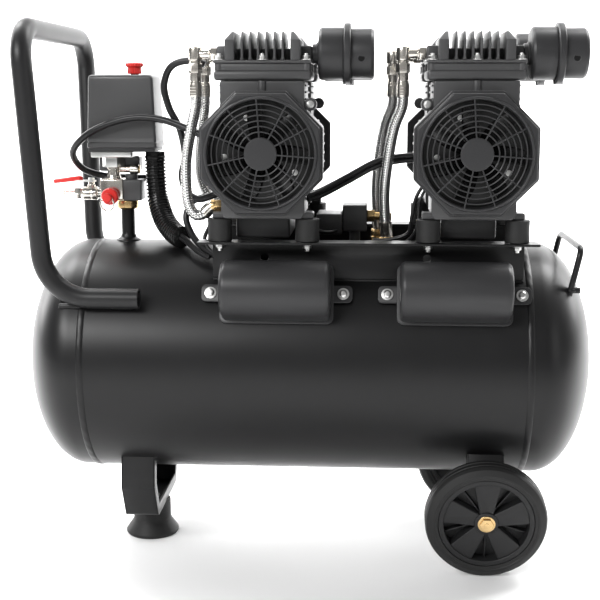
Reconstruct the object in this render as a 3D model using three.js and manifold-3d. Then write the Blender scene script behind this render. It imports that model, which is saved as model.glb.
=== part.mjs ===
// Twin-pump air compressor on a horizontal tank, in millimetres, +Z up, floor at z = 0.
// +X runs along the tank from the switch end to the wheel end, and +Y points to the rear.
import * as THREE from "three";
import { mergeVertices } from "three/addons/utils/BufferGeometryUtils.js";
import Module from "manifold-3d";

const wasm = await Module();
wasm.setup();

// ---------- Driving dimensions ----------
const gap = 0.3; // between pieces that touch

// Tank
const tankDiameter = 304;
const tankLength = 736;
const tankWall = 3;
const tankClear = 104; // from the floor to the tank's underside
const headFlange = 15; // straight part of each dished head
const seamWidth = 9;
const seamRise = 1.5;
const tankSides = 36;
const headSteps = 5;
const portRadius = 5;

// Carry handle
const handleRadius = 12.5;
const handleWall = 1.8;
const handleRunAngle = 35; // degrees above the tank's axis
const handleRunEnd = 165; // from the tank's end to the open tube end
const handleLegOut = 48; // from the tank's end to the foot of the leg
const handleTopOut = 35; // from the tank's end to the top of the leg
const handleRise = 270; // of the crossbar over the tank's top
const handleTopHalfWidth = 165;
const handleRunBend = 68;
const handleTopBend = 40;

// End handle
const gripRadius = 3.9;
const gripHalfWidth = 85;
const gripRise = 155; // of the crossbar over the tank's axis
const gripOut = 26; // from the tank's end to the crossbar
const gripFootOut = 40;
const gripBend = 12;
const stubLength = 14;

// Pumps
const pumpSpacing = 256;
const pumpsCentre = 77;
const pumpLength = 304; // over both fan shrouds
const shaftRise = 80; // above the pump's underside
const shaftRadius = 8;
const rotorRadius = 40;
const rotorLength = 52;
const statorClearance = 2;
const motorFlats = 136;
const crankcaseWidth = 102;
const crankcaseInner = 40; // from the pump's middle to each crankcase
const crankcaseRise = 86; // from the shaft to the crankcase's top

// Fan shrouds and fans
const shroudFlats = 148;
const shroudDepth = 28;
const shroudBore = 64;
const collarWall = 3.3;
const collarProud = 3;
const backPlate = 1.5;
const backPlateBore = 14;
const grilleHub = 19.7;
const grilleSpokes = 11;
const grilleRing = 42;
const grilleBar = 1.7;
const grilleDepth = 2.5;
const fanRadius = 59;
const fanHubRadius = 17;
const fanHubLength = 16;
const fanBlades = 7;
const fanChord = 24;
const fanPitch = 38; // degrees
const bladeThickness = 2;

// Cylinder heads
const headCentre = 78; // from the pump's middle to each cylinder
const headWidth = 119;
const headLength = 84;
const headPlateHeight = 24;
const finHeight = 34;
const finChamfer = 9;
const finThickness = 2.6;
const finPitch = 9.8;
const innerFins = 6;
const outerFinThickness = 12;
const finBlockWidth = 91;
const portWidth = 13;
const portHeight = 18;
const portLength = 24;

// Intake filters
const filterRise = 8.5; // of the filter's axis over the head plate
const filterNeckRadius = 8;
const filterNeckLength = 8;
const filterBodyRadius = 32;
const filterBodyLength = 30;
const filterRingRadius = 37;
const filterRingLength = 9;
const filterCapRadius = 30.5;
const filterCapLength = 28.5;

// Exhaust hoses
const hoseRadius = 7;
const ferruleRadius = 8;
const elbowRadius = 8.5;
const elbowReach = 28; // from the port block to the elbow's upright
const rearHoseOut = 10; // further from the head than the front hoses
const inletRise = 13.4; // of the air inlet over the pump's underside
const hoseTurn = 50; // from the elbow's axis down to the end of the ferrule

// Mount rails and rubber mounts
const railRise = 13; // of the rail's top over the tank's top
const railSheet = 3;
const railLength = 418;
const skirtLength = 386;
const mountInset = 12.5; // from the skirt's outer face to the mounts
const railWidth = 32;
const mountSpacing = 108; // along the tank, between the two mounts of one rail
const mountPlace = 111.5; // from the tank's axis
const mountRadius = 15;
const mountHeight = 28;
const studRadius = 3;
const studDrop = 9;
const nutRadius = 5.5;
const nutHeight = 4;
const skirtHoleRadius = 5;

// Capacitor covers
const coverAngle = 25; // degrees above the horizontal of the cover's base normal
const coverGap = 5.9; // sideways, between the cover's upper edge and the rail
const coverLength = 134;
const coverRadius = 35;
const coverWall = 22; // straight part of the sides
const coverFlange = 3;
const coverLip = 3.5;
const coverSpacing = 218;
const coversCentre = 75;
const tabLength = 23;
const tabWidth = 22;
const tabHoleRadius = 2.6;
const tabHoleReach = 11.5;

// Leg and foot
const legIn = 150; // from the tank's end
const legWidth = 44;
const legSheet = 3;
const legLip = 14;
const legTop = 91;
const legBend = 97;
const legBase = 72;
const legBendHeight = 94;
const footHeight = 48;
const footRadius = 36;
const footNeckRadius = 25.5;
const footConeHeight = 18;

// Wheels
const wheelIn = 140; // from the tank's end
const wheelUnder = 19; // of the wheel's middle inside the tank's side
const wheelCamber = 9.5; // degrees
const tyreRadius = 76;
const tyreWidth = 33;
const rimRadius = 60;
const rimWidth = 29;
const rimWall = 7;
const rimSpokes = 5;
const spokeAngle = 36; // degrees
const hubRadius = 15;
const axleRadius = 6;
const axleHeadRadius = 9.5;
const axleHeadHeight = 4;
const bracketWidth = 46;
const bracketIn = 42; // of the bracket's top inside the tank's side
const bracketBendHeight = 125;

// Valve group and pressure switch
const riserIn = 126; // from the tank's end
const riserRadius = 9;
const riserRise = 43; // over the tank's top
const blockHeight = 38;
const blockHalf = 15;
const switchHeight = 94;
const switchRise = 123; // of its lower edge over the tank's top
const unionHeight = 13; // of the nut under the switch
const switchTopWidth = 84;
const switchBottomWidth = 91;
const switchDepth = 66;
const switchWall = 2.5;
const knobPlace = 13; // from the riser's axis
const knobRadius = 11.7;
const knobStem = 5;
const valveRise = 62; // over the tank's top
const leverLength = 50;
const leverDepth = 5;
const drainRadius = 8;
const drainHead = 5;
const drainSocket = 3;

// Wiring
const conduitRadius = 13;
const cableRadius = 4.5;
const wireRadius = 4;

// ---------- Worked-out dimensions ----------
const tankRadius = tankDiameter / 2;
const headDepth = tankDiameter / 4; // 2:1 elliptical heads
const tankAxisHeight = tankClear + tankRadius;
const tankEnd = tankLength / 2;
const seamX = tankEnd - headDepth - headFlange;
const tankTop = tankAxisHeight + tankRadius;
const railTop = tankTop + railRise;
const pumpBase = railTop + mountHeight + 2 * gap;
const shaftHeight = pumpBase + shaftRise;
const crankcaseTop = shaftHeight + crankcaseRise;
const crankcaseOuter = pumpLength / 2 - shroudDepth - gap;
const shroudBack = pumpLength / 2 - shroudDepth;
const headBottom = crankcaseTop + gap;
const plateTop = headBottom + headPlateHeight;
const portEnd = finBlockWidth / 2 + portWidth;
const filterHeight = plateTop + filterRise;
const elbowX = -(portEnd + elbowReach);
const ferruleEnd = filterHeight - hoseTurn;
const inletHeight = pumpBase + inletRise;
const handleTopHeight = tankTop + handleRise;
const gripHeight = tankAxisHeight + gripRise;
const legX = -tankEnd + legIn;
const wheelX = tankEnd - wheelIn;
const wheelY = tankRadius - wheelUnder;
const bracketTop = tankRadius - bracketIn;
const riserX = -tankEnd + riserIn;
const riserTop = tankTop + riserRise;
const blockTop = riserTop + blockHeight;
const switchBottom = tankTop + switchRise;
const switchTop = switchBottom + switchHeight;
const unionTop = switchBottom - unionHeight;
const knobX = riserX + knobPlace;
const valveHeight = tankTop + valveRise;
const radians = THREE.MathUtils.degToRad;
const skirtPlace = mountPlace - mountInset;
const coverLean = radians(coverAngle);
const coverReach = (tankRadius + gap) * Math.cos(coverLean) - skirtPlace - coverGap;
const coverLift = coverReach / Math.sin(coverLean) - coverRadius - coverLip; // up the base plane

// ---------- Solids ----------

// A closed geometry as a manifold solid with its faces pointing out.
function solid(geometry) {
  geometry.deleteAttribute("normal");
  geometry.deleteAttribute("uv");
  const merged = mergeVertices(geometry, 1e-3);
  const faces = [];
  for (let i = 0; i < merged.index.count; i += 3) {
    const [a, b, c] = [0, 1, 2].map((k) => merged.index.getX(i + k));
    if (a !== b && b !== c && c !== a) faces.push([a, b, c]);
  }
  const make = (list) =>
    new wasm.Manifold(
      new wasm.Mesh({
        numProp: 3,
        vertProperties: merged.attributes.position.array,
        triVerts: Uint32Array.from(list.flat()),
      }),
    );
  const made = make(faces);
  return made.volume() < 0 ? make(faces.map(([a, b, c]) => [a, c, b])) : made;
}

const join = (...parts) => parts.reduce((a, b) => a.add(b));
const cut = (base, ...tools) => tools.reduce((a, b) => a.subtract(b), base);

function box(x0, x1, y0, y1, z0, z1) {
  const shape = new THREE.BoxGeometry(x1 - x0, y1 - y0, z1 - z0);
  return solid(shape.translate((x0 + x1) / 2, (y0 + y1) / 2, (z0 + z1) / 2));
}

// Turns a geometry made along +Y so that it lies along the named axis.
function along(axis, geometry) {
  if (axis === "x") geometry.rotateZ(-Math.PI / 2);
  if (axis === "z") geometry.rotateX(Math.PI / 2);
  return geometry;
}

// A profile of [radius, place] points turned about an axis through centre.
function turned(axis, profile, sides, centre = [0, 0, 0]) {
  const points = profile.map(([r, place]) => new THREE.Vector2(r, place));
  const shape = along(axis, new THREE.LatheGeometry(points, sides));
  return solid(shape.translate(...centre));
}

// A round bar from one place to another on the named axis.
function rod(axis, radius, from, to, centre = [0, 0, 0], sides = 12) {
  const profile = [
    [0, from],
    [radius, from],
    [radius, to],
    [0, to],
  ];
  return turned(axis, profile, sides, centre);
}

// An outline carried along an axis: [y, z] points along x, [x, z] along y, [x, y] along z.
function prism(axis, outline, from, to) {
  const shape = new THREE.Shape(outline.map(([a, b]) => new THREE.Vector2(a, b)));
  const geometry = new THREE.ExtrudeGeometry(shape, { depth: to - from, bevelEnabled: false });
  geometry.translate(0, 0, from);
  const [x, y, z] = [
    [1, 0, 0],
    [0, 1, 0],
    [0, 0, 1],
  ].map((v) => new THREE.Vector3(...v));
  const basis = { x: [y, z, x], y: [x, z, y], z: [x, y, z] }[axis];
  return solid(geometry.applyMatrix4(new THREE.Matrix4().makeBasis(...basis)));
}

// Points on a circle's arc, angles in degrees.
function arc(radius, start, end, steps, centre = [0, 0]) {
  return Array.from({ length: steps + 1 }, (_, i) => {
    const angle = radians(start + ((end - start) * i) / steps);
    return [centre[0] + radius * Math.cos(angle), centre[1] + radius * Math.sin(angle)];
  });
}

const circle = (radius, sides) => arc(radius, 0, 360 - 360 / sides, sides - 1);

// A path of straight runs and round corners, sampled only where it starts, ends or bends.
class BentPath extends THREE.Curve {
  constructor(corners, bend, steps) {
    super();
    const points = corners.map((p) => new THREE.Vector3(...p));
    this.stations = [points[0]];
    for (let i = 1; i < points.length - 1; i += 1) {
      const back = points[i - 1].clone().sub(points[i]).normalize();
      const ahead = points[i + 1].clone().sub(points[i]).normalize();
      const half = back.angleTo(ahead) / 2;
      const reach = bend[i - 1] / Math.tan(half);
      const middle = back.clone().add(ahead).normalize();
      const centre = points[i].clone().addScaledVector(middle, bend[i - 1] / Math.sin(half));
      const start = points[i].clone().addScaledVector(back, reach).sub(centre);
      const end = points[i].clone().addScaledVector(ahead, reach).sub(centre);
      const sweep = start.angleTo(end);
      for (let k = 0; k <= steps; k += 1) {
        const a = Math.sin(sweep * (1 - k / steps)) / Math.sin(sweep);
        const b = Math.sin((sweep * k) / steps) / Math.sin(sweep);
        const spoke = start.clone().multiplyScalar(a).addScaledVector(end, b);
        this.stations.push(centre.clone().add(spoke));
      }
    }
    this.stations.push(points.at(-1));
  }
  get count() {
    return this.stations.length - 1;
  }
  getPointAt(u) {
    return this.stations[Math.round(u * this.count)].clone();
  }
  getTangentAt(u) {
    const i = Math.round(u * this.count);
    const before = this.stations[Math.max(i - 1, 0)];
    const after = this.stations[Math.min(i + 1, this.count)];
    return after.clone().sub(before).normalize();
  }
}

// A round bar or tube carried along a curve.
function sweep(path, radius, sides, steps, bore = 0) {
  const ring = (r) => circle(r, sides).map(([x, y]) => new THREE.Vector2(x, y));
  const shape = new THREE.Shape(ring(radius));
  if (bore > 0) shape.holes.push(new THREE.Path(ring(bore)));
  return solid(new THREE.ExtrudeGeometry(shape, { steps, extrudePath: path }));
}

const smooth = (points) => new THREE.CatmullRomCurve3(points.map((p) => new THREE.Vector3(...p)));

// The tank's outside, grown by an offset, or its inside where the offset is below zero.
function tankShape(offset) {
  const radius = tankRadius + offset;
  const depth = headDepth + offset;
  const dome = Array.from({ length: headSteps + 1 }, (_, i) => {
    const angle = (Math.PI / 2) * (i / headSteps);
    return [radius * Math.sin(angle), seamX + headFlange + depth * Math.cos(angle)];
  });
  dome[0][0] = 0;
  const half = seamWidth / 2;
  const seam = [
    [radius, seamX + half],
    [radius + seamRise, seamX + half - seamRise],
    [radius + seamRise, seamX - half + seamRise],
    [radius, seamX - half],
  ];
  const right = offset < 0 ? dome : [...dome, ...seam];
  const left = right.map(([r, x]) => [r, -x]).reverse();
  return turned("x", [...right, ...left], tankSides, [0, 0, tankAxisHeight]);
}

// ---------- Pieces ----------
const part = new THREE.Group();

function finish(color, roughness, metalness) {
  return new THREE.MeshStandardMaterial({ color, roughness, metalness });
}

function piece(name, body, material, holder = part) {
  const { vertProperties, triVerts } = body.getMesh();
  const geometry = new THREE.BufferGeometry();
  geometry.setAttribute("position", new THREE.BufferAttribute(vertProperties, 3));
  geometry.setIndex(new THREE.BufferAttribute(triVerts, 1));
  geometry.computeVertexNormals();
  const mesh = new THREE.Mesh(geometry, material);
  mesh.name = name;
  holder.add(mesh);
}

const blackPaint = () => finish(0x1b1c1e, 0.45, 0.3);
const blackCasting = () => finish(0x232427, 0.55, 0.35);
const blackPlastic = () => finish(0x161719, 0.5, 0);
const blackRubber = () => finish(0x1a1a1b, 0.85, 0);
const redPlastic = () => finish(0xc8262a, 0.4, 0);
const zinc = () => finish(0xc2c4c4, 0.35, 0.9);
const brass = () => finish(0xc2a56a, 0.35, 0.9);

const tankClearance = tankShape(gap);
const pumpCentres = { left: pumpsCentre - pumpSpacing / 2, right: pumpsCentre + pumpSpacing / 2 };
const sides = { front: -1, rear: 1 };

function makeTank() {
  const riserPort = rod("z", portRadius, tankTop - 40, tankTop + 5, [riserX, 0, 0], 10);
  const floor = tankAxisHeight - tankRadius;
  const drainPort = rod("z", portRadius, floor - 5, floor + 40, [0, 0, 0], 10);
  piece("tank", cut(tankShape(0), tankShape(-tankWall), riserPort, drainPort), blackPaint());
}

function makeCarryHandle() {
  const seat = tankRadius + seamRise + gap + handleRadius;
  const runY = seat * Math.cos(radians(handleRunAngle));
  const runZ = tankAxisHeight + seat * Math.sin(radians(handleRunAngle));
  const half = [
    [-tankEnd + handleRunEnd, -runY, runZ],
    [-tankEnd + handleLegOut, -runY, runZ],
    [-tankEnd + handleTopOut, -handleTopHalfWidth, handleTopHeight],
  ];
  const mirrored = half.map(([x, y, z]) => [x, -y, z]).reverse();
  const bends = [handleRunBend, handleTopBend, handleTopBend, handleRunBend];
  const path = new BentPath([...half, ...mirrored], bends, 6);
  const bore = handleRadius - handleWall;
  piece("carry_handle", sweep(path, handleRadius, 10, path.count, bore), blackPaint());
}

function makeEndHandle() {
  const crossbar = tankEnd - gripOut;
  const foot = tankEnd - gripFootOut;
  const footZ = tankAxisHeight + tankRadius * 0.6;
  const corners = [
    [foot, -gripHalfWidth, footZ],
    [crossbar, -gripHalfWidth, gripHeight],
    [crossbar, gripHalfWidth, gripHeight],
    [foot, gripHalfWidth, footZ],
  ];
  const path = new BentPath(corners, [gripBend, gripBend], 4);
  const bar = sweep(path, gripRadius, 8, path.count);
  const stubZ = footZ + 3 * gripRadius;
  const stub = rod("x", gripRadius, foot, foot + stubLength, [0, -gripHalfWidth, stubZ], 8);
  piece("end_handle", cut(join(bar, stub), tankClearance), blackPaint());
}

// Front and rear angle rails: a flange for the mounts, and a skirt down to the tank.
function makeRails() {
  for (const [place, side] of Object.entries(sides)) {
    const inner = side * (skirtPlace - railSheet);
    const outer = side * (skirtPlace + railWidth - railSheet);
    const [y0, y1] = [inner, outer].sort((a, b) => a - b);
    const half = railLength / 2;
    const top = box(pumpsCentre - half, pumpsCentre + half, y0, y1, railTop - railSheet, railTop);
    const [s0, s1] = [inner, side * skirtPlace].sort((a, b) => a - b);
    const reach = skirtLength / 2;
    const low = tankAxisHeight + tankRadius / 2;
    const skirt = box(pumpsCentre - reach, pumpsCentre + reach, s0, s1, low, railTop - railSheet / 2);
    const holes = Object.values(pumpCentres).flatMap((x) => [
      rod("z", studRadius + 0.5, railTop - 9, railTop + 9, [x - mountSpacing / 2, side * mountPlace, 0]),
      rod("z", studRadius + 0.5, railTop - 9, railTop + 9, [x + mountSpacing / 2, side * mountPlace, 0]),
    ]);
    const angle = cut(join(top, skirt), tankClearance, ...holes);
    const drains = [pumpCentres.left, pumpCentres.right - mountSpacing / 2].map((x) =>
      rod("y", skirtHoleRadius, s0 - 9, s1 + 9, [x, 0, railTop - 22]),
    );
    piece(`${place}_rail`, place === "front" ? cut(angle, ...drains) : angle, blackPaint());
  }
}

// Each rubber mount with its stud and the nut under the rail.
function makeMounts(name, x, y) {
  const rubber = rod("z", mountRadius, railTop + gap, railTop + gap + mountHeight, [x, y, 0], 16);
  const nutTop = railTop - railSheet - gap;
  const stud = rod("z", studRadius, nutTop - studDrop, railTop + 2, [x, y, 0], 8);
  const nut = rod("z", nutRadius, nutTop - nutHeight, nutTop, [x, y, 0], 6);
  piece(name, join(rubber, stud, nut), blackRubber());
}

// Motor and both crankcases as one casting, bored for the shaft and hollow round the rotor.
function makePumpBody(name, x) {
  const flats = motorFlats / 2;
  const side = flats * Math.tan(Math.PI / 8);
  const octagon = [
    [side, flats],
    [flats, side],
    [flats, -side],
    [side, -flats],
    [-side, -flats],
    [-flats, -side],
    [-flats, side],
    [-side, flats],
  ].map(([a, b]) => [x + a, shaftHeight + b]);
  const motor = prism("y", octagon, -crankcaseInner - 1, crankcaseInner + 1);
  const half = crankcaseWidth / 2;
  const ends = Object.values(sides).map((side) => {
    const [y0, y1] = [side * crankcaseInner, side * crankcaseOuter].sort((a, b) => a - b);
    return box(x - half, x + half, y0, y1, pumpBase, crankcaseTop);
  });
  const centre = [x, 0, shaftHeight];
  const bore = rod("y", shaftRadius + gap, -pumpLength, pumpLength, centre, 16);
  const hollow = rotorLength / 2 + statorClearance;
  const stator = rod("y", rotorRadius + statorClearance, -hollow, hollow, centre, 20);
  piece(name, cut(join(motor, ...ends), bore, stator), blackCasting());
}

function makeRotor(name, x) {
  const end = crankcaseOuter + fanHubLength + 4;
  const profile = [
    [0, -end],
    [shaftRadius, -end],
    [shaftRadius, -rotorLength / 2],
    [rotorRadius, -rotorLength / 2],
    [rotorRadius, rotorLength / 2],
    [shaftRadius, rotorLength / 2],
    [shaftRadius, end],
    [0, end],
  ];
  piece(name, turned("y", profile, 16, [x, 0, shaftHeight]), zinc());
}

// An octagonal frame round a short duct, closed by a hub disc on spokes and one ring.
function makeShroud(name, x, side) {
  const flats = shroudFlats / 2;
  const half = flats * Math.tan(Math.PI / 8);
  const corners = [
    [half, flats],
    [flats, half],
    [flats, -half],
    [half, -flats],
    [-half, -flats],
    [-flats, -half],
    [-flats, half],
    [-half, flats],
  ].map(([a, b]) => [x + a, shaftHeight + b]);
  const front = pumpLength / 2;
  const span = (a, b) => [side * a, side * b].sort((m, n) => m - n);
  const centre = [x, 0, shaftHeight];
  const frame = prism("y", corners, ...span(shroudBack, front - collarProud));
  const collar = rod("y", shroudBore + collarWall, ...span(shroudBack, front), centre, 24);
  const duct = rod("y", shroudBore, ...span(shroudBack - 1, front + 1), centre, 24);
  const back = cut(
    rod("y", shroudBore + 1, ...span(shroudBack, shroudBack + backPlate), centre, 24),
    rod("y", backPlateBore, -pumpLength, pumpLength, centre, 12),
  );
  const face = span(front - grilleDepth - 0.5, front - 0.5);
  const hub = rod("y", grilleHub, ...face, centre, 16);
  const ring = cut(
    rod("y", grilleRing + grilleBar / 2, ...face, centre, 16),
    rod("y", grilleRing - grilleBar / 2, -pumpLength, pumpLength, centre, 16),
  );
  const spokes = Array.from({ length: grilleSpokes }, (_, i) => {
    const length = shroudBore + 1 - grilleHub + 3;
    const bar = new THREE.BoxGeometry(length, grilleDepth, grilleBar);
    bar.translate(grilleHub - 3 + length / 2, (face[0] + face[1]) / 2, 0);
    bar.rotateY((i / grilleSpokes) * 2 * Math.PI + Math.PI / 2);
    return solid(bar.translate(...centre));
  });
  piece(name, join(cut(join(frame, collar), duct), back, hub, ring, ...spokes), blackPlastic());
}

function makeFan(name, x, side) {
  const middle = side * (crankcaseOuter + 3 + fanHubLength / 2);
  const [y0, y1] = [middle - fanHubLength / 2, middle + fanHubLength / 2];
  const hub = rod("y", fanHubRadius, y0, y1, [x, 0, shaftHeight], 14);
  const blades = Array.from({ length: fanBlades }, (_, i) => {
    const length = fanRadius - fanHubRadius + 4;
    const blade = new THREE.BoxGeometry(length, bladeThickness, fanChord);
    blade.rotateX(radians(side * fanPitch));
    blade.translate(fanHubRadius - 4 + length / 2, 0, 0);
    blade.rotateY((i / fanBlades) * 2 * Math.PI);
    return solid(blade.translate(x, middle, shaftHeight));
  });
  const bore = rod("y", shaftRadius + gap, y0 - 9, y1 + 9, [x, 0, shaftHeight], 16);
  piece(name, cut(join(hub, ...blades), bore), blackPlastic());
}

// Head plate, eight chamfered fins, and a port block on each side.
function makeHead(name, x, side) {
  const y = side * headCentre;
  const half = headLength / 2;
  const plate = box(x - headWidth / 2, x + headWidth / 2, y - half, y + half, headBottom, plateTop);
  const run = half - 2;
  const low = plateTop - 1;
  const high = plateTop + finHeight;
  const finOutline = [
    [y - run, low],
    [y + run, low],
    [y + run, high - finChamfer],
    [y + run - finChamfer, high],
    [y - run + finChamfer, high],
    [y - run, high - finChamfer],
  ];
  const fin = (middle, thickness) =>
    prism("x", finOutline, x + middle - thickness / 2, x + middle + thickness / 2);
  const middleFins = Array.from({ length: innerFins }, (_, i) =>
    fin((i - (innerFins - 1) / 2) * finPitch, finThickness),
  );
  const outer = (finBlockWidth - outerFinThickness) / 2;
  const ends = [fin(-outer, outerFinThickness), fin(outer, outerFinThickness)];
  const [front, rear] = [y - portLength / 2, y + portLength / 2];
  const port = box(x - portEnd, x + portEnd, front, rear, low, plateTop + portHeight);
  const middle = box(x - outer, x + outer, y - half - 1, y + half + 1, plateTop + 4, high + 1);
  const ports = cut(port, middle);
  piece(name, join(plate, ports, ...middleFins, ...ends), blackCasting());
}

// Neck, body, wide ring and cap, turned about the filter's own axis.
function makeFilter(name, x, side) {
  const steps = [
    [filterNeckRadius, filterNeckLength],
    [filterBodyRadius, filterBodyLength],
    [filterRingRadius, filterRingLength],
    [filterCapRadius, filterCapLength],
  ];
  const profile = [[0, 0]];
  let place = 0;
  for (const [radius, length] of steps) {
    profile.push([radius, place], [radius, place + length]);
    place += length;
  }
  profile.push([0, place]);
  const centre = [x + portEnd + gap, side * headCentre, filterHeight];
  piece(name, turned("x", profile, 16, centre), blackPlastic());
}

// Elbow, ferrules and braided hose of one exhaust, crimped together as one assembly.
function makeHose(name, x, side, route, last) {
  const y = side * headCentre;
  const upright = x + elbowX - (side > 0 ? rearHoseOut : 0);
  const tube = rod("x", hoseRadius - 1, x - portEnd - gap, upright, [0, y, filterHeight], 8);
  const turn = [upright, y, 0];
  const elbow = join(
    rod("z", elbowRadius, filterHeight - 9, filterHeight + 9, turn, 10),
    rod("z", hoseRadius, ferruleEnd + 14, filterHeight, turn, 10),
    rod("z", ferruleRadius, ferruleEnd, ferruleEnd + 16, turn, 10),
  );
  const start = [
    [upright, y, ferruleEnd + 2],
    [upright, y, ferruleEnd - 12],
  ];
  const path = smooth([...start, ...route.map(([dx, dy, z]) => [x + dx, side * dy, z])]);
  const hose = sweep(path, hoseRadius, 8, 16);
  piece(name, join(tube, elbow, hose, last), zinc());
}

// A D-shaped cover on a flange with two bolt tabs, its base plane resting against the tank.
function makeCover(name, x) {
  const half = coverLength / 2;
  const dome = [
    [coverRadius, 0],
    ...arc(coverRadius, 0, 180, 10, [0, coverWall]),
    [-coverRadius, 0],
  ];
  const lip = coverRadius + coverLip;
  const end = half + coverLip;
  const cover = prism("x", dome, -half, half);
  const flange = box(-end, end, -lip, lip, 0, coverFlange);
  const tabs = box(-end - tabLength, end + tabLength, -tabWidth / 2, tabWidth / 2, 0, coverFlange);
  const holes = [-1, 1].map((s) =>
    rod("z", tabHoleRadius, -9, 9, [s * (end + tabHoleReach), 0, 0], 8),
  );
  const holder = new THREE.Group();
  const [ny, nz] = [-Math.cos(coverLean), Math.sin(coverLean)];
  const seat = tankRadius + gap;
  holder.rotation.x = Math.PI / 2 - coverLean;
  holder.position.set(x, seat * ny + coverLift * nz, tankAxisHeight + seat * nz - coverLift * ny);
  part.add(holder);
  piece(name, cut(join(cover, flange, tabs), ...holes), blackPlastic(), holder);
}

// Moves an open outline sideways by a distance, mitred at its corners.
function offsetLine(points, distance) {
  const normal = (a, b) => {
    const length = Math.hypot(b[0] - a[0], b[1] - a[1]);
    return [-(b[1] - a[1]) / length, (b[0] - a[0]) / length];
  };
  return points.map((p, i) => {
    const n1 = normal(points[Math.max(i - 1, 0)], points[Math.max(i, 1)]);
    const n2 = normal(points[Math.min(i, points.length - 2)], points[Math.min(i + 1, points.length - 1)]);
    const scale = distance / (1 + n1[0] * n2[0] + n1[1] * n2[1]);
    return [p[0] + (n1[0] + n2[0]) * scale, p[1] + (n1[1] + n2[1]) * scale];
  });
}

// A bent sheet with a turned-in lip along both edges, trimmed to the tank.
function channel(line, x, width) {
  const sheet = [...line, ...offsetLine(line, legSheet).reverse()];
  const lip = [...line, ...offsetLine(line, legLip).reverse()];
  const [x0, x1] = [x - width / 2, x + width / 2];
  const web = prism("x", sheet, x0, x1);
  const lips = [prism("x", lip, x0, x0 + legSheet), prism("x", lip, x1 - legSheet, x1)];
  return cut(join(web, ...lips), tankClearance);
}

function makeLeg() {
  const inside = tankAxisHeight - tankRadius + 50;
  const front = [
    [-legTop, inside],
    [-legBend, legBendHeight],
    [-legBase, footHeight],
  ];
  const rear = front.map(([y, z]) => [-y, z]).reverse();
  piece("leg", channel([...front, ...rear], legX, legWidth), blackPaint());
  const profile = [
    [0, 0],
    [footRadius - 2, 0],
    [footRadius, 3],
    [footRadius, 5],
    [footNeckRadius + 1.5, footConeHeight],
    [footNeckRadius, footConeHeight + 4],
    [footNeckRadius, footHeight - gap],
    [0, footHeight - gap],
  ];
  piece("foot", turned("z", profile, 20, [legX, 0, 0]), blackRubber());
}

// One wheel with its bolt and bracket. The wheel's own axis is y, and outward is the side it is on.
function makeWheel(place, side) {
  const holder = new THREE.Group();
  const camber = radians(wheelCamber);
  const lowest = tyreRadius * Math.cos(camber) + (tyreWidth / 4) * Math.sin(camber);
  holder.rotation.x = -side * camber;
  holder.position.set(wheelX, side * wheelY, lowest);
  part.add(holder);

  const half = tyreWidth / 2;
  const tread = [
    [rimRadius + gap, -half + 1.5],
    [tyreRadius - 9, -half],
    [tyreRadius - 2, -half * 0.8],
    [tyreRadius, -half / 2],
    [tyreRadius, half / 2],
    [tyreRadius - 2, half * 0.8],
    [tyreRadius - 9, half],
    [rimRadius + gap, half - 1.5],
    [rimRadius + gap, -half + 1.5],
  ];
  piece(`${place}_tyre`, turned("y", tread, 32), finish(0x202022, 0.8, 0), holder);

  const face = side * (rimWidth / 2);
  const span = (a, b) => [side * a, side * b].sort((m, n) => m - n);
  const band = cut(
    rod("y", rimRadius, -rimWidth / 2, rimWidth / 2, [0, 0, 0], 32),
    rod("y", rimRadius - rimWall, -rimWidth, rimWidth, [0, 0, 0], 32),
  );
  const web = rod("y", rimRadius - rimWall + 1, ...span(-6, -2), [0, 0, 0], 32);
  const hub = rod("y", hubRadius, -rimWidth / 2, rimWidth / 2, [0, 0, 0], 16);
  const spokes = Array.from({ length: rimSpokes }, (_, i) => {
    const middle = 90 + (360 * i) / rimSpokes;
    const outline = [
      ...arc(rimRadius - rimWall + 1, middle - spokeAngle / 2, middle + spokeAngle / 2, 4),
      ...arc(hubRadius - 3, middle + 40, middle - 40, 2),
    ];
    return prism("y", outline, ...span(-4, rimWidth / 2 - 1.5));
  });
  const bore = rod("y", axleRadius + gap, -rimWidth, rimWidth, [0, 0, 0], 16);
  piece(`${place}_wheel_rim`, cut(join(band, web, hub, ...spokes), bore), blackPlastic(), holder);

  const sheetIn = half + 2;
  const headFrom = Math.abs(face) + gap;
  const bolt = join(
    rod("y", axleHeadRadius, ...span(headFrom, headFrom + axleHeadHeight), [0, 0, 0], 16),
    rod("y", axleRadius, ...span(-sheetIn - legSheet - 12, headFrom + 1), [0, 0, 0], 16),
    rod("y", axleRadius + 4, ...span(-sheetIn - legSheet - 8, -sheetIn - legSheet - gap), [0, 0, 0], 6),
  );
  piece(`${place}_axle_bolt`, bolt, brass(), holder);

  // The bracket's lower plate lies along the wheel's inner face.
  const inward = [-side * Math.cos(camber), Math.sin(camber)];
  const upward = [side * Math.sin(camber), Math.cos(camber)];
  const onPlate = (rise) => [
    side * wheelY + inward[0] * sheetIn + upward[0] * rise,
    lowest + inward[1] * sheetIn + upward[1] * rise,
  ];
  const bendRise = (bracketBendHeight - lowest) / Math.cos(camber);
  const line = [
    [side * (bracketTop - 8), tankAxisHeight - tankRadius + 68],
    onPlate(bendRise),
    onPlate(-18),
  ];
  if (side > 0) line.reverse();
  holder.updateMatrixWorld(true);
  const shank = new THREE.CylinderGeometry(axleRadius + 1, axleRadius + 1, 120, 16);
  const hole = solid(shank.applyMatrix4(holder.matrixWorld));
  piece(`${place}_wheel_bracket`, cut(channel(line, wheelX, bracketWidth), hole), blackPaint());
}

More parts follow.
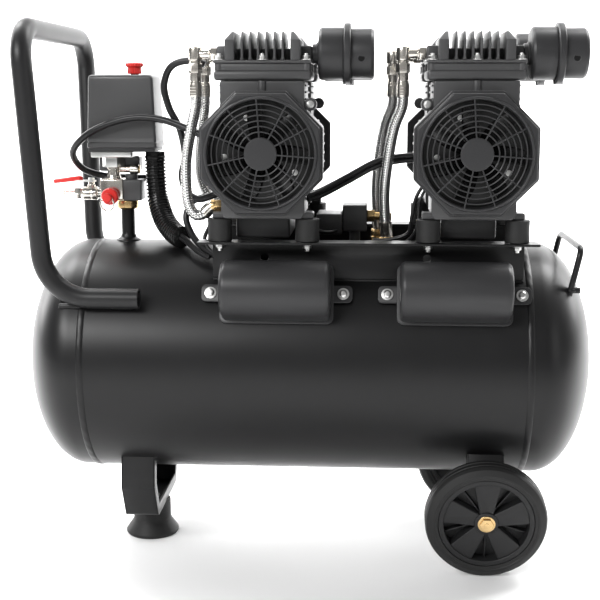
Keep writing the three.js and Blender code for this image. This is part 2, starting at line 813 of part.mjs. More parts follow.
function makeValveGroup() {
  const flare = [
    [0, tankTop - 6],
    [riserRadius + 7, tankTop - 6],
    [riserRadius + 7, tankTop + 2],
    [riserRadius, tankTop + 9],
    [riserRadius, riserTop],
    [riserRadius + 4.5, riserTop],
    [riserRadius + 4.5, riserTop + 12],
    [0, riserTop + 12],
  ];
  const riser = turned("z", flare, 16, [riserX, 0, 0]);
  const blockLow = riserTop + 11;
  const dark = box(riserX - 3, riserX + 21, -blockHalf, blockHalf, blockLow, blockTop);
  const silver = box(riserX - 34, riserX - 2, -blockHalf + 1, blockHalf - 1, blockLow, blockTop + 6);
  const neckX = riserX - 18;
  const neck = rod("z", 8, blockTop, unionTop - 12, [neckX, 0, 0], 10);
  const hexNut = rod("z", 13, unionTop - unionHeight, unionTop, [neckX, 0, 0], 6);
  const reliefHeight = valveHeight - 2;
  const relief = join(
    rod("y", 5, -blockHalf - 6, -blockHalf + 3, [neckX, 0, reliefHeight], 10),
    rod("y", 11.3, -blockHalf - 17, -blockHalf - 5, [neckX, 0, reliefHeight], 16),
    rod("y", 3.2, -blockHalf - 21, -blockHalf - 16, [neckX, 0, reliefHeight], 8),
  );
  const body = cut(join(riser, dark, silver, neck, hexNut, relief), tankClearance);
  piece("manifold", body, brass());

  // Pull cap of the safety valve with its ring.
  const capFrom = -blockHalf - 21 - gap;
  const cap = rod("y", 6.2, capFrom - 11, capFrom, [neckX, 0, reliefHeight - 1], 12);
  const ring = new THREE.TorusGeometry(8.5, 1.3, 6, 14).rotateX(Math.PI / 2);
  ring.translate(neckX, capFrom - 7, reliefHeight - 8.5);
  piece("relief_ring", join(cap, solid(ring)), redPlastic());

  const valveEnd = riserX - 34 - gap;
  const valve = join(
    rod("x", 6, valveEnd - 8, valveEnd, [0, 0, valveHeight], 10),
    rod("x", 9, valveEnd - 28, valveEnd - 6, [0, 0, valveHeight], 10),
    rod("x", 8, valveEnd - 36, valveEnd - 26, [0, 0, valveHeight], 6),
    rod("x", 4, valveEnd - 54, valveEnd - 34, [0, 0, valveHeight], 8),
    rod("z", 4, valveHeight, valveHeight + 15, [valveEnd - 14, 0, 0], 10),
  );
  piece("ball_valve", valve, brass());
  const pivot = valveEnd - 14;
  const leverLow = valveHeight + 15 + gap;
  const lever = join(
    rod("z", 7, leverLow, leverLow + leverDepth, [pivot, 0, 0], 12),
    box(pivot - leverLength, pivot - 3, -5.5, 5.5, leverLow, leverLow + leverDepth),
  );
  piece("valve_lever", lever, redPlastic());
}

function makeSwitch() {
  const plateLow = unionTop + gap;
  const base = join(
    box(riserX - 42, riserX + 12, -27, 27, plateLow, plateLow + 9),
    box(riserX - 44, riserX + 40, -30, 30, plateLow + 8, switchBottom - gap),
    box(riserX - 20, riserX + 28, -20, 20, switchBottom - 1, switchBottom + 50),
  );
  piece("switch_base", base, zinc());

  // A tapered box, open below.
  const taper = (grow) => {
    const top = switchTopWidth / 2 + grow;
    const bottom = switchBottomWidth / 2 + grow;
    const roof = switchTop + grow;
    return [
      [riserX - bottom, switchBottom - (grow < 0 ? 2 : 0)],
      [riserX + bottom, switchBottom - (grow < 0 ? 2 : 0)],
      [riserX + top, roof],
      [riserX - top, roof],
    ];
  };
  const depth = switchDepth / 2;
  const shell = cut(
    prism("y", taper(0), -depth, depth),
    prism("y", taper(-switchWall), -depth + switchWall, depth - switchWall),
    rod("z", knobStem + gap + 0.3, switchTop - 20, switchTop + 5, [knobX, 0, 0], 12),
  );
  piece("switch_cover", shell, blackPlastic());

  const knob = join(
    rod("z", knobStem, switchTop - 30, switchTop + 3, [knobX, 0, 0], 12),
    rod("z", knobRadius - 2, switchTop + gap + 0.5, switchTop + 11, [knobX, 0, 0], 16),
    rod("z", knobRadius, switchTop + 10, switchTop + 15, [knobX, 0, 0], 16),
  );
  piece("switch_knob", knob, redPlastic());
}

// Corrugated conduit from the switch to the tank's top, with the wires that leave it.
function makeConduit() {
  const x = riserX + 36;
  const run = smooth([
    [x, 10, switchBottom - 12],
    [x + 1, 8, tankTop + 82],
    [x + 4, 4, tankTop + 54],
    [x + 14, -10, tankTop + 29],
    [x + 30, -30, tankTop + 13.5],
    [x + 43, -44, tankTop + 9],
  ]);
  const wires = smooth([
    [x + 38, -39, tankTop + 11],
    [x + 52, -54, tankTop + 1],
    [x + 68, -72, tankTop - 9],
    [x + 84, -84, tankTop - 16],
  ]);
  const collar = rod("z", conduitRadius - 1.5, switchBottom - 14, switchBottom - 6, [x, 10, 0], 12);
  const body = join(collar, sweep(run, conduitRadius, 10, 10), sweep(wires, wireRadius, 8, 6));
  piece("conduit", cut(body, tankClearance), blackPlastic());
}

function makeCables() {
  const pumpWall = pumpCentres.left - crankcaseWidth / 2 - 1.5;
  const supply = smooth([
    [pumpWall, -70, 545],
    [pumpWall - 20, -66, 546],
    [-150, -58, 556],
    [-186, -52, 568],
    [-224, -48, 570],
    [-262, -46, 560],
    [-291, -38, 544],
    [-309, -20, 524],
    [-303, 4, 503],
    [-280, 24, 492],
    [-240, 30, 489],
    [-214, 30, 489],
  ]);
  piece("supply_cable", sweep(supply, cableRadius, 8, 36), blackRubber());
  const vent = smooth([
    [-128, -60, 636],
    [-150, -58, 641],
    [-172, -52, 634],
    [-182, -48, 612],
    [-177, -46, 584],
    [-164, -42, 556],
    [-159, -36, 520],
    [-163, -38, 496],
    [-156, -46, 477],
    [-138, -60, 468],
    [-118, -68, 474],
    [pumpWall, -70, 479],
  ]);
  piece("vent_hose", sweep(vent, cableRadius, 8, 24), blackRubber());
}

function makeDrainValve() {
  const low = tankAxisHeight - tankRadius;
  const bottom = low - gap - drainHead;
  const plug = join(
    rod("z", drainRadius, bottom, low - gap, [0, 0, 0], 6),
    rod("z", portRadius - 1, bottom + 1, low + 8, [0, 0, 0], 10),
  );
  const socket = rod("z", drainSocket, bottom - 1, bottom + 3, [0, 0, 0], 6);
  piece("drain_valve", cut(plug, socket), brass());
}

makeTank();
makeCarryHandle();
makeEndHandle();
makeRails();
for (const [which, x] of Object.entries(pumpCentres)) {
  makePumpBody(`${which}_pump_body`, x);
  makeRotor(`${which}_rotor`, x);
  for (const [place, side] of Object.entries(sides)) {
    for (const [end, step] of [["a", -1], ["b", 1]]) {
      makeMounts(`${which}_${place}_mount_${end}`, x + (step * mountSpacing) / 2, side * mountPlace);
    }
    makeShroud(`${which}_${place}_shroud`, x, side);
    makeFan(`${which}_${place}_fan`, x, side);
    makeHead(`${which}_${place}_head`, x, side);
    makeFilter(`${which}_${place}_filter`, x, side);
  }
}
for (const [place, side] of Object.entries(sides)) {
  const left = pumpCentres.left;
  const right = pumpCentres.right;
  const out = side > 0 ? rearHoseOut : 0;
  const half = crankcaseWidth / 2;
  const wall = left - half - gap;
  const fitting = rod("x", ferruleRadius, wall - 15, wall, [0, side * 100, inletHeight], 8);
  const toPump = [
    [-half - 40 - out, 86, inletHeight + 97],
    [-half - 46 - out, 93, inletHeight + 59],
    [-half - 46 - out, 98, inletHeight + 22],
    [-half - 42 - out / 2, 100, inletHeight - 1],
    [-half - 34, 101, inletHeight - 11],
    [-half - 25, 101, inletHeight - 10],
    [-half - 17, 100, inletHeight - 3],
    [-half - 11, 100, inletHeight],
  ];
  makeHose(`left_${place}_hose`, left, side, toPump, fitting);
  const seatX = right - half - 53 - out;
  const seat = rod("z", ferruleRadius, tankTop - 12, tankTop + 18, [seatX, side * 45, 0], 8);
  const toTank = [
    [-half - 45 - out, 74, tankTop + 152],
    [-half - 52 - out, 64, tankTop + 112],
    [-half - 56 - out, 55, tankTop + 72],
    [-half - 55 - out, 48, tankTop + 38],
    [-half - 53 - out, 45, tankTop + 14],
  ];
  makeHose(`right_${place}_hose`, right, side, toTank, cut(seat, tankClearance));
}
makeCover("left_capacitor_cover", coversCentre - coverSpacing / 2);
makeCover("right_capacitor_cover", coversCentre + coverSpacing / 2);
makeLeg();
for (const [place, side] of Object.entries(sides)) makeWheel(place, side);
makeValveGroup();
makeSwitch();
makeConduit();
makeCables();
makeDrainValve();

// The origin is the middle of the underside of everything.
const bounds = new THREE.Box3().setFromObject(part, true);
const middle = bounds.getCenter(new THREE.Vector3());
part.position.set(-middle.x, -middle.y, -bounds.min.z);

export default part;
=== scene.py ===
"""Looks of a twin-pump tank compressor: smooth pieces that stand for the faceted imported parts.

Shapes are worked out in millimetres. X = 0 is the middle of the tank, Y = 0 its axis and Z = 0 the floor,
and each finished mesh is placed in the row frame by the tank's box.
"""

import math

import bpy
import numpy as np
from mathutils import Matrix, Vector
from mathutils.geometry import tessellate_polygon


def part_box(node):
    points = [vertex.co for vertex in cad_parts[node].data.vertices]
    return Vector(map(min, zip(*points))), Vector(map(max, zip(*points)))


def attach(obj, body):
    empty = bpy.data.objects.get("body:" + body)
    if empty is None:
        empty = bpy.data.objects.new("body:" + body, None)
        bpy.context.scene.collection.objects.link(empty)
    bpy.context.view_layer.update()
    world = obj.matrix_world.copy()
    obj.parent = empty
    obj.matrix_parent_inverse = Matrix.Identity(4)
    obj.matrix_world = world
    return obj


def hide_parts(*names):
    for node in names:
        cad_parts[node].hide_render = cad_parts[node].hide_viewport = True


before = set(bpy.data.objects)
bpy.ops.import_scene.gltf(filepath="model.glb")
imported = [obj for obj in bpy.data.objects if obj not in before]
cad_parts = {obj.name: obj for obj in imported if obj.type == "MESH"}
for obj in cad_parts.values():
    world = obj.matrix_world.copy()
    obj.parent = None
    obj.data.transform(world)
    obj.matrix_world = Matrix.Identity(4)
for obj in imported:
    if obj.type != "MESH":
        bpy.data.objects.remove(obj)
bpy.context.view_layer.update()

# ---------- Where things are ----------

_low, _high = (np.array(corner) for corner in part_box("tank"))
ORIGIN = np.array([(_low[0] + _high[0]) / 2, (_low[1] + _high[1]) / 2, 0.0])


def span(node):
    """Lowest and highest corner of a CAD node, in the millimetres used here."""
    return [(np.array(corner) - ORIGIN) * 1000 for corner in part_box(node)]


def middle(node):
    """The middle of a CAD node's box."""
    low, high = span(node)
    return (low + high) / 2


TANK_END = span("tank")[1][0]
TANK_AXIS = middle("tank")[2]
TANK_R = 152.0
HEAD_DEPTH = 76.0
FLANGE = 15.0
SEAM = TANK_END - HEAD_DEPTH - FLANGE
RAIL_TOP = span("front_rail")[1][2]
PUMPS = {"left": middle("left_rotor")[0], "right": middle("right_rotor")[0]}
SHAFT = middle("left_rotor")[2]
PUMP_BASE = span("left_pump_body")[0][2]
CRANK_TOP = span("left_pump_body")[1][2]
PLATE_TOP = CRANK_TOP + 24.3
FILTER_Z = middle("left_front_filter")[2]
HEAD_Y = 78.0
CASE_HALF_X = 51.0
CASE_END_Y = 123.7
SIDES = {"front": -1, "rear": 1}
RISER_X = -242.0
NECK_OUT = 18.0
OUTLET_Z = 470.0
HANDLE_TUBE_R = 12.5
HANDLE_TILT = math.radians(35)
FRAME_BODY = "frame"

# ---------- Shapes ----------


class Shape:
    """Vertices in millimetres, quads and triangles, and a running place on each quad corner."""

    def __init__(self, v, q=(), t=(), uv=None):
        self.v = np.asarray(v, float).reshape(-1, 3)
        self.q = np.asarray(q, int).reshape(-1, 4)
        self.t = np.asarray(t, int).reshape(-1, 3)
        self.uv = np.zeros((len(self.q), 4, 2)) if uv is None else uv

    def __add__(self, other):
        n = len(self.v)
        return Shape(
            np.vstack([self.v, other.v]),
            np.vstack([self.q, other.q + n]),
            np.vstack([self.t, other.t + n]),
            np.concatenate([self.uv, other.uv]),
        )

    def moved(self, x=0.0, y=0.0, z=0.0):
        return Shape(self.v + np.array([x, y, z]), self.q, self.t, self.uv)

    def turned(self, axis, degrees):
        c, s = math.cos(math.radians(degrees)), math.sin(math.radians(degrees))
        a, b = {"x": (1, 2), "y": (2, 0), "z": (0, 1)}[axis]
        v = self.v.copy()
        v[:, a] = c * self.v[:, a] - s * self.v[:, b]
        v[:, b] = s * self.v[:, a] + c * self.v[:, b]
        return Shape(v, self.q, self.t, self.uv)

    def mirrored(self):
        """The same shape on the other side of Y = 0."""
        v = self.v * np.array([1, -1, 1])
        return Shape(v, self.q[:, ::-1], self.t[:, ::-1], self.uv[:, ::-1])

    def outward(self):
        """The same shape with its faces pointing out: its volume, the sum of a.(b x c)/6, is positive."""
        tri = np.vstack([self.q[:, [0, 1, 2]], self.q[:, [0, 2, 3]], self.t])
        a, b, c = (self.v[tri[:, k]] for k in range(3))
        if (a * np.cross(b, c)).sum() >= 0:
            return self
        return Shape(self.v, self.q[:, ::-1], self.t[:, ::-1], self.uv[:, ::-1])


def total(shapes):
    """Several shapes as one."""
    shapes = list(shapes)
    result = shapes[0]
    for shape in shapes[1:]:
        result = result + shape
    return result


def unit(v):
    return v / np.linalg.norm(v, axis=-1, keepdims=True)


def on_side(side, a, b):
    """Two distances from the middle as Y values on one side of it, the lower one first."""
    return sorted((side * a, side * b))


def rounded(points, radius, steps=4, closed=False):
    """A polyline whose corners become arcs.

    In a corner of half-angle h, an arc of radius r starts r / tan h from the corner.
    """
    points = np.asarray(points, float)
    radii = np.broadcast_to(radius, len(points))
    out = []
    for i, p in enumerate(points):
        ends = not closed and i in (0, len(points) - 1)
        if ends or radii[i] <= 0:
            out.append(p)
            continue
        back = points[i - 1] - p
        ahead = points[(i + 1) % len(points)] - p
        room = 0.48 * min(np.linalg.norm(back), np.linalg.norm(ahead))
        back, ahead = unit(back), unit(ahead)
        half = 0.5 * math.acos(np.clip(back @ ahead, -1, 1))
        if half > 1.55 or half < 0.02:
            out.append(p)
            continue
        reach = min(radii[i] / math.tan(half), room)
        centre = p + unit(back + ahead) * reach / math.cos(half)
        a, b = p + back * reach - centre, p + ahead * reach - centre
        sweep = math.pi - 2 * half
        for k in range(steps + 1):
            t = k / steps
            spoke = a * math.sin((1 - t) * sweep) + b * math.sin(t * sweep)
            out.append(centre + spoke / math.sin(sweep))
    return np.array(out)


def arc(radius, start, end, steps, centre=(0, 0)):
    """Points (r cos a, r sin a) at equal steps of a, in degrees, from start to end."""
    angle = np.radians(np.linspace(start, end, steps + 1))
    return np.array(centre) + radius * np.stack([np.cos(angle), np.sin(angle)], -1)


def circle(radius, steps=32, centre=(0, 0)):
    return arc(radius, 0, 360, steps, centre)[:-1]


def spline(points, count):
    """A smooth curve through the points: cubic pieces that agree in slope, in count equal steps of the knots.

    The knots are spaced by the square roots of the chords, and the slopes are differences over the knots.
    """
    p = np.asarray(points, float)
    knots = np.concatenate([[0], np.cumsum(np.linalg.norm(np.diff(p, axis=0), axis=1) ** 0.5)])
    slope = np.gradient(p, knots, axis=0, edge_order=2 if len(p) > 2 else 1)
    at = np.linspace(0, knots[-1], count)
    i = np.clip(np.searchsorted(knots, at, side="right") - 1, 0, len(p) - 2)
    step = (knots[i + 1] - knots[i])[:, None]
    t = (at - knots[i])[:, None] / step
    h00, h10 = 2 * t**3 - 3 * t**2 + 1, t**3 - 2 * t**2 + t
    h01, h11 = -2 * t**3 + 3 * t**2, t**3 - t**2
    return h00 * p[i] + h10 * step * slope[i] + h01 * p[i + 1] + h11 * step * slope[i + 1]


def loft(rings, caps=True, closed=False):
    """Quads between successive rings of equally many points. Flat fans close the two ends."""
    rings = np.asarray(rings, float)
    m, n = rings.shape[:2]
    i = np.arange(m if closed else m - 1)[:, None]
    j = np.arange(n)[None]
    ahead, beside = (i + 1) % m, (j + 1) % n
    q = np.stack([i * n + j, i * n + beside, ahead * n + beside, ahead * n + j], -1)
    centres = rings.mean(1)
    run = np.linalg.norm(np.diff(centres, axis=0, append=centres[:1]), axis=1)
    start = np.concatenate([[0], np.cumsum(run)])
    s0, s1 = np.broadcast_to(start[i], q.shape[:2]), np.broadcast_to(start[i + 1], q.shape[:2])
    a0, a1 = np.broadcast_to(j / n, q.shape[:2]), np.broadcast_to((j + 1) / n, q.shape[:2])
    uv = np.stack([np.stack([s0, a0], -1), np.stack([s0, a1], -1)], 2)
    uv = np.concatenate([uv, np.stack([np.stack([s1, a1], -1), np.stack([s1, a0], -1)], 2)], 2)
    v, t = rings.reshape(-1, 3), []
    if caps and not closed:
        ring = np.arange(n)
        v = np.vstack([v, centres[0], centres[-1]])
        first, last = m * n, m * n + 1
        t = [np.stack([np.full(n, first), np.roll(ring, -1), ring], -1)]
        t.append(np.stack([np.full(n, last), ring + (m - 1) * n, np.roll(ring, -1) + (m - 1) * n], -1))
        t = np.vstack(t)
    return Shape(v, q.reshape(-1, 4), t, uv.reshape(-1, 4, 2)).outward()


def lay(axis, a, b, along):
    """Outline coordinates and a distance along an axis as points: (y, z), (x, z) or (x, y)."""
    order = {"x": (along, a, b), "y": (a, along, b), "z": (a, b, along)}[axis]
    return np.stack(np.broadcast_arrays(*order), -1)


def lathe(axis, profile, centre=(0, 0, 0), sides=48, soft=0.0, ripple=None):
    """A profile of (radius, place) turned about an axis: (r cos a, r sin a) at each place.

    soft rounds its corners. ripple(a, r, place) is added to the radius.
    A profile that doesn't start on the axis is closed on itself, as a ring.
    """
    profile = np.asarray(profile, float)
    ring = profile[0][0] > 1e-6
    if soft:
        profile = rounded(profile, soft, closed=ring)
    if not ring:
        profile = profile[1:-1]
    angle = np.linspace(0, 2 * math.pi, sides, endpoint=False)[None]
    radius, place = profile[:, :1], profile[:, 1:]
    if ripple:
        radius = radius + ripple(angle, radius, place)
    points = lay(axis, radius * np.cos(angle), radius * np.sin(angle), place)
    return loft(points + np.array(centre), caps=not ring, closed=ring)


def bar(axis, radius, start, end, centre=(0, 0, 0), sides=32, soft=0.4):
    """A round bar with softened ends."""
    profile = [(0, start), (radius, start), (radius, end), (0, end)]
    return lathe(axis, profile, centre, sides, soft)


def hexagon(axis, flats, start, end, centre=(0, 0, 0)):
    """A nut or bolt head: a hexagon whose corners are cut back at both faces."""
    outline = circle(flats / math.sqrt(3), 6)
    return carried(outline, axis, start, end, corner=0.4, edge=0.5).moved(*centre)


def torus(axis, radius, thick, centre=(0, 0, 0), sides=64, around=10):
    """A ring of round wire: a circle of radius thick turned about the axis at the given radius."""
    ring = circle(thick, around) + np.array([radius, 0])
    return lathe(axis, ring, centre, sides)


def inset(loop, distance):
    """A closed outline moved to its left by a distance, mitred at the corners."""
    ahead = unit(np.roll(loop, -1, 0) - loop)
    behind = np.roll(ahead, 1, 0)
    n1, n2 = (np.stack([-d[:, 1], d[:, 0]], -1) for d in (behind, ahead))
    share = distance / np.maximum(1 + (n1 * n2).sum(1), 0.2)
    return loop + (n1 + n2) * share[:, None]


def area(loop):
    """Half the sum of x y' - y x' over the outline's steps, positive where it runs anticlockwise."""
    x, y = loop[:, 0], loop[:, 1]
    return 0.5 * (x * np.roll(y, -1) - y * np.roll(x, -1)).sum()


def carried(outline, axis, start, end, corner=0.0, edge=0.5, holes=(), steps=3):
    """An outline, with holes, carried along an axis, its face edges rounded as quarter circles."""
    outer = np.asarray(outline, float)
    if area(outer) < 0:
        outer = outer[::-1]
    if corner:
        outer = rounded(outer, corner, closed=True)
    loops = [outer] + [h if area(np.asarray(h)) < 0 else np.asarray(h)[::-1] for h in holes]
    turn = np.radians(np.linspace(0, 90, steps + 1))
    shifts = [(edge * (1 - math.sin(a)), edge * (1 - math.cos(a))) for a in turn]
    levels = [(d, start + h) for d, h in shifts] + [(d, end - h) for d, h in reversed(shifts)]
    vertices, walls, low, high, base, offset = [], [], [], [], [], 0
    for loop in loops:
        n = len(loop)
        vertices.append(np.vstack([lay(axis, *inset(loop, d).T, h) for d, h in levels]))
        i = offset + np.arange(len(levels) - 1)[:, None] * n
        j = np.arange(n)[None]
        beside = (j + 1) % n
        walls.append(np.stack([i + j, i + beside, i + n + beside, i + n + j], -1).reshape(-1, 4))
        low.append(offset + np.arange(n))
        high.append(low[-1] + (len(levels) - 1) * n)
        base.append(inset(loop, edge))
        offset += len(levels) * n
    flat = np.vstack(base)
    tri = tessellate_polygon([[(x, y, 0) for x, y in loop] for loop in base])
    tri = np.array([t for t in tri if len(set(t)) == 3], int)
    a, b, c = (flat[tri[:, k]] for k in range(3))
    turned_back = (b[:, 0] - a[:, 0]) * (c[:, 1] - a[:, 1]) < (b[:, 1] - a[:, 1]) * (c[:, 0] - a[:, 0])
    tri[turned_back] = tri[turned_back][:, ::-1]
    walls = np.vstack(walls)
    lids = np.vstack([np.concatenate(low)[tri[:, ::-1]], np.concatenate(high)[tri]])
    if axis == "y":
        walls, lids = walls[:, ::-1], lids[:, ::-1]
    return Shape(np.vstack(vertices), walls, lids)


def block(x0, x1, y0, y1, z0, z1, soft=1.0, edge=None):
    """A rectangle with rounded corners, carried upwards, with rounded edges."""
    outline = [(x0, y0), (x1, y0), (x1, y1), (x0, y1)]
    return carried(outline, "z", z0, z1, corner=soft, edge=soft if edge is None else edge)


def frames(path):
    """Unit tangents and two normals carried along a path without twist."""
    tangent = unit(np.gradient(path, axis=0))
    side = np.cross(tangent[0], [0, 0, 1])
    if np.linalg.norm(side) < 0.1:
        side = np.cross(tangent[0], [1, 0, 0])
    normals = [unit(side)]
    for t in tangent[1:]:
        n = normals[-1] - t * (normals[-1] @ t)
        normals.append(unit(n))
    normals = np.array(normals)
    return tangent, normals, np.cross(tangent, normals)


def tube(path, radius, sides=20, bore=0.0, soft=0.5):
    """Circles carried along a path. radius may vary along it. A bore leaves both ends open."""
    path = np.asarray(path, float)
    tangent, n, b = frames(path)
    angle = np.linspace(0, 2 * math.pi, sides, endpoint=False)
    radius = np.broadcast_to(radius, len(path))

    def ring(i, r, push=0.0):
        spoke = np.cos(angle)[:, None] * n[i] + np.sin(angle)[:, None] * b[i]
        return path[i] + tangent[i] * push + spoke * r

    outer = [ring(i, r) for i, r in enumerate(radius)]
    outer[0], outer[-1] = ring(0, radius[0], soft), ring(-1, radius[-1], -soft)
    outer = [ring(0, radius[0] - soft)] + outer + [ring(-1, radius[-1] - soft)]
    if not bore:
        return loft(outer)
    inner = [ring(i, bore) for i in range(len(path))][::-1]
    return loft(outer + inner, closed=True)


def offset_line(points, distance):
    """An open outline moved to its left, mitred at its corners."""
    p = np.asarray(points, float)
    d = unit(np.diff(p, axis=0))
    n = np.stack([-d[:, 1], d[:, 0]], -1)
    n1, n2 = np.vstack([n[:1], n]), np.vstack([n, n[-1:]])
    return p + (n1 + n2) * (distance / (1 + (n1 * n2).sum(1)))[:, None]


def above_tank(y, lift=0.0):
    """Height of the tank's side over a place y from its axis: z = axis + sqrt(r^2 - y^2)."""
    return TANK_AXIS + math.sqrt((TANK_R + lift) ** 2 - y * y)


# ---------- Materials ----------


class Shade:
    """A number in a material's tree, combined with ordinary arithmetic."""

    def __init__(self, finish, socket):
        self.finish = finish
        self.socket = socket

    def maths(self, operation, *others):
        return self.finish.node("ShaderNodeMath", self, *others, settings={"operation": operation})

    def __add__(self, other):
        return self.maths("ADD", other)

    def __sub__(self, other):
        return self.maths("SUBTRACT", other)

    def __rsub__(self, other):
        return self.finish.node("ShaderNodeMath", other, self, settings={"operation": "SUBTRACT"})

    def __mul__(self, other):
        return self.maths("MULTIPLY", other)

    __radd__ = __add__
    __rmul__ = __mul__

    def sine(self):
        return self.maths("SINE")

    def size(self):
        return self.maths("ABSOLUTE")

    def most(self, other):
        return self.maths("MAXIMUM", other)

    def between(self, low, high):
        """0 below low, 1 above high, and a smooth step between them."""
        smooth = {"interpolation_type": "SMOOTHSTEP"}
        return self.finish.node("ShaderNodeMapRange", self, settings=smooth, From_Min=low, From_Max=high)


class Finish:
    """A Principled material and the nodes that vary it."""

    def __init__(self, name, slot, **values):
        self.slot = slot
        self.material = bpy.data.materials.new(name)
        self.material.use_nodes = True
        self.tree = self.material.node_tree
        self.shader = self.tree.nodes["Principled BSDF"]
        for key, value in values.items():
            socket = self.shader.inputs[key.replace("_", " ")]
            socket.default_value = (*value, 1) if isinstance(value, tuple) else value

    def node(self, kind, *values, output=0, settings=None, **named):
        """A node of any kind: its settings, then the values or links of its sockets, in order or by name."""
        made = self.tree.nodes.new(kind)
        for key, value in (settings or {}).items():
            setattr(made, key, value)
        sockets = list(zip(made.inputs, values))
        sockets += [(made.inputs[key.replace("_", " ")], value) for key, value in named.items()]
        for socket, value in sockets:
            if isinstance(value, Shade):
                self.tree.links.new(value.socket, socket)
            else:
                socket.default_value = value
        return Shade(self, made.outputs[output])

    def run(self):
        """Distance along a tube in millimetres, and the turn round it from 0 to 1."""
        whole = self.node("ShaderNodeUVMap", settings={"uv_map": "run"})
        return [self.node("ShaderNodeSeparateXYZ", whole, output=axis) for axis in "XY"]

    def noise(self, size, detail=3.0):
        """Noise whose features are about size millimetres across."""
        place = self.node("ShaderNodeTexCoord", output="Object")
        return self.node("ShaderNodeTexNoise", output="Fac", Vector=place, Scale=1000 / size, Detail=detail)

    def feed(self, name, value):
        self.tree.links.new(value.socket, self.shader.inputs[name])
        return self

    def vary(self, name, low, high, share):
        """Links a socket to a value or colour that runs from low to high as share runs from 0 to 1."""
        if not isinstance(low, tuple):
            return self.feed(name, share * (high - low) + low)
        blend = {"A": (*low, 1), "B": (*high, 1)}
        rgba = {"data_type": "RGBA"}
        return self.feed(name, self.node("ShaderNodeMix", share, output="Result", settings=rgba, **blend))

    def bump(self, height, depth):
        """Raises the surface by height times depth millimetres."""
        return self.feed("Normal", self.node("ShaderNodeBump", Distance=depth / 1000, Height=height))


def textured(name, slot, color, roughness, grain, depth, spread=0.06, **values):
    """A finish with a fine grain and slow drifts of roughness and colour."""
    made = Finish(name, slot, Base_Color=color, Roughness=roughness, **values)
    drift = made.noise(90.0)
    lighter = tuple(c * 1.25 + 0.002 for c in color)
    made.vary("Roughness", roughness - spread, roughness + spread, drift)
    made.vary("Base Color", color, lighter, made.noise(40.0, 5.0))
    return made.bump(made.noise(grain, 2.0), depth)


def matt(*values):
    """A textured finish that shines less than bare plastic."""
    return textured(*values, Specular_IOR_Level=0.3)


def metal(*values):
    return textured(*values, Metallic=1.0)


ENAMEL = matt("black_enamel_paint", "black_enamel", (0.004, 0.004, 0.0043), 0.36, 1.6, 0.012)
TUBE_COAT = matt("powder_coat", "black_tube", (0.008, 0.008, 0.0085), 0.4, 0.9, 0.02)
PLASTIC = matt("moulded_plastic", "black_plastic", (0.022, 0.022, 0.023), 0.38, 0.6, 0.02)
RIM_PLASTIC = matt("rim_moulding", "rim_plastic", (0.010, 0.010, 0.0105), 0.42, 0.7, 0.03)
RUBBER = matt("moulded_rubber", "rubber", (0.011, 0.011, 0.011), 0.55, 0.7, 0.03)
TYRE = matt("tyre_rubber", "tyre", (0.010, 0.010, 0.010), 0.5, 0.6, 0.04)
CABLE = matt("cable_sheath", "cable_rubber", (0.008, 0.008, 0.0085), 0.3, 0.8, 0.01)
# A near-black material for the disc in the silencer's intake hole: painted shade for the hole's inside.
PAINTED_HOLE_SHADE = matt("dark_opening", "rubber", (0.001, 0.001, 0.001), 0.9, 1.0, 0.01)
CASTING_GREY = (0.042, 0.042, 0.043)
CASTING = textured("coated_casting", "black_casting", CASTING_GREY, 0.38, 0.8, 0.04, Specular_IOR_Level=0.4)
FAN_PLASTIC = textured("fan_moulding", "fan_plastic", (0.004, 0.004, 0.004), 0.16, 0.7, 0.006)
GLOSSY = textured("glossy_moulding", "black_plastic", (0.006, 0.006, 0.006), 0.2, 0.8, 0.004, 0.04)
# A plastic darker than the other mouldings for the plate behind each fan: painted shade inside the fan
# housing.
SHADE_BLACK_PLASTIC = textured("painted_shade_moulding", "black_plastic", (0.002, 0.002, 0.002), 0.35, 0.8, 0.01)
# A lighter copy of the black plastic, about twice as pale, for the switch housing: painted sheen for the
# light it reflects.
PLASTIC_WITH_PAINTED_SHEEN = textured("painted_sheen_moulding", "black_plastic", (0.045, 0.045, 0.046), 0.34, 0.6, 0.015)
RED = textured("red_moulding", "red_plastic", (0.6, 0.025, 0.02), 0.3, 1.2, 0.01, 0.04)
ZINC = metal("zinc_plate", "zinc", (0.58, 0.58, 0.57), 0.3, 1.2, 0.015)
STEEL = metal("turned_steel", "rotor_steel", (0.5, 0.5, 0.5), 0.28, 1.0, 0.01)
NICKEL = metal("nickel_plate", "brass", (0.62, 0.59, 0.54), 0.2, 1.5, 0.01)
BRASS = metal("bare_brass", "brass", (0.6, 0.42, 0.2), 0.26, 1.4, 0.015)


def braid():
    """Two sets of flat wires wound opposite ways: height = |sin(ks + nt)| or |sin(ks - nt)|."""
    made = Finish("steel_braid", "steel_braid", Base_Color=(0.6, 0.6, 0.6), Metallic=1.0)
    along, turn = made.run()
    one = (along * 0.95 + turn * (7 * math.pi)).sine().size()
    two = (along * 0.95 - turn * (7 * math.pi)).sine().size()
    height = one.most(two)
    made.vary("Roughness", 0.5, 0.24, height)
    # The colour darkens from the wires' crowns to the pits between them: painted shade in the braid's
    # grooves.
    made.vary("Base Color", (0.07, 0.07, 0.07), (0.66, 0.66, 0.65), height.between(0.4, 0.98))
    return made.bump(height, 0.35)


BRAID = braid()

# ---------- Building ----------


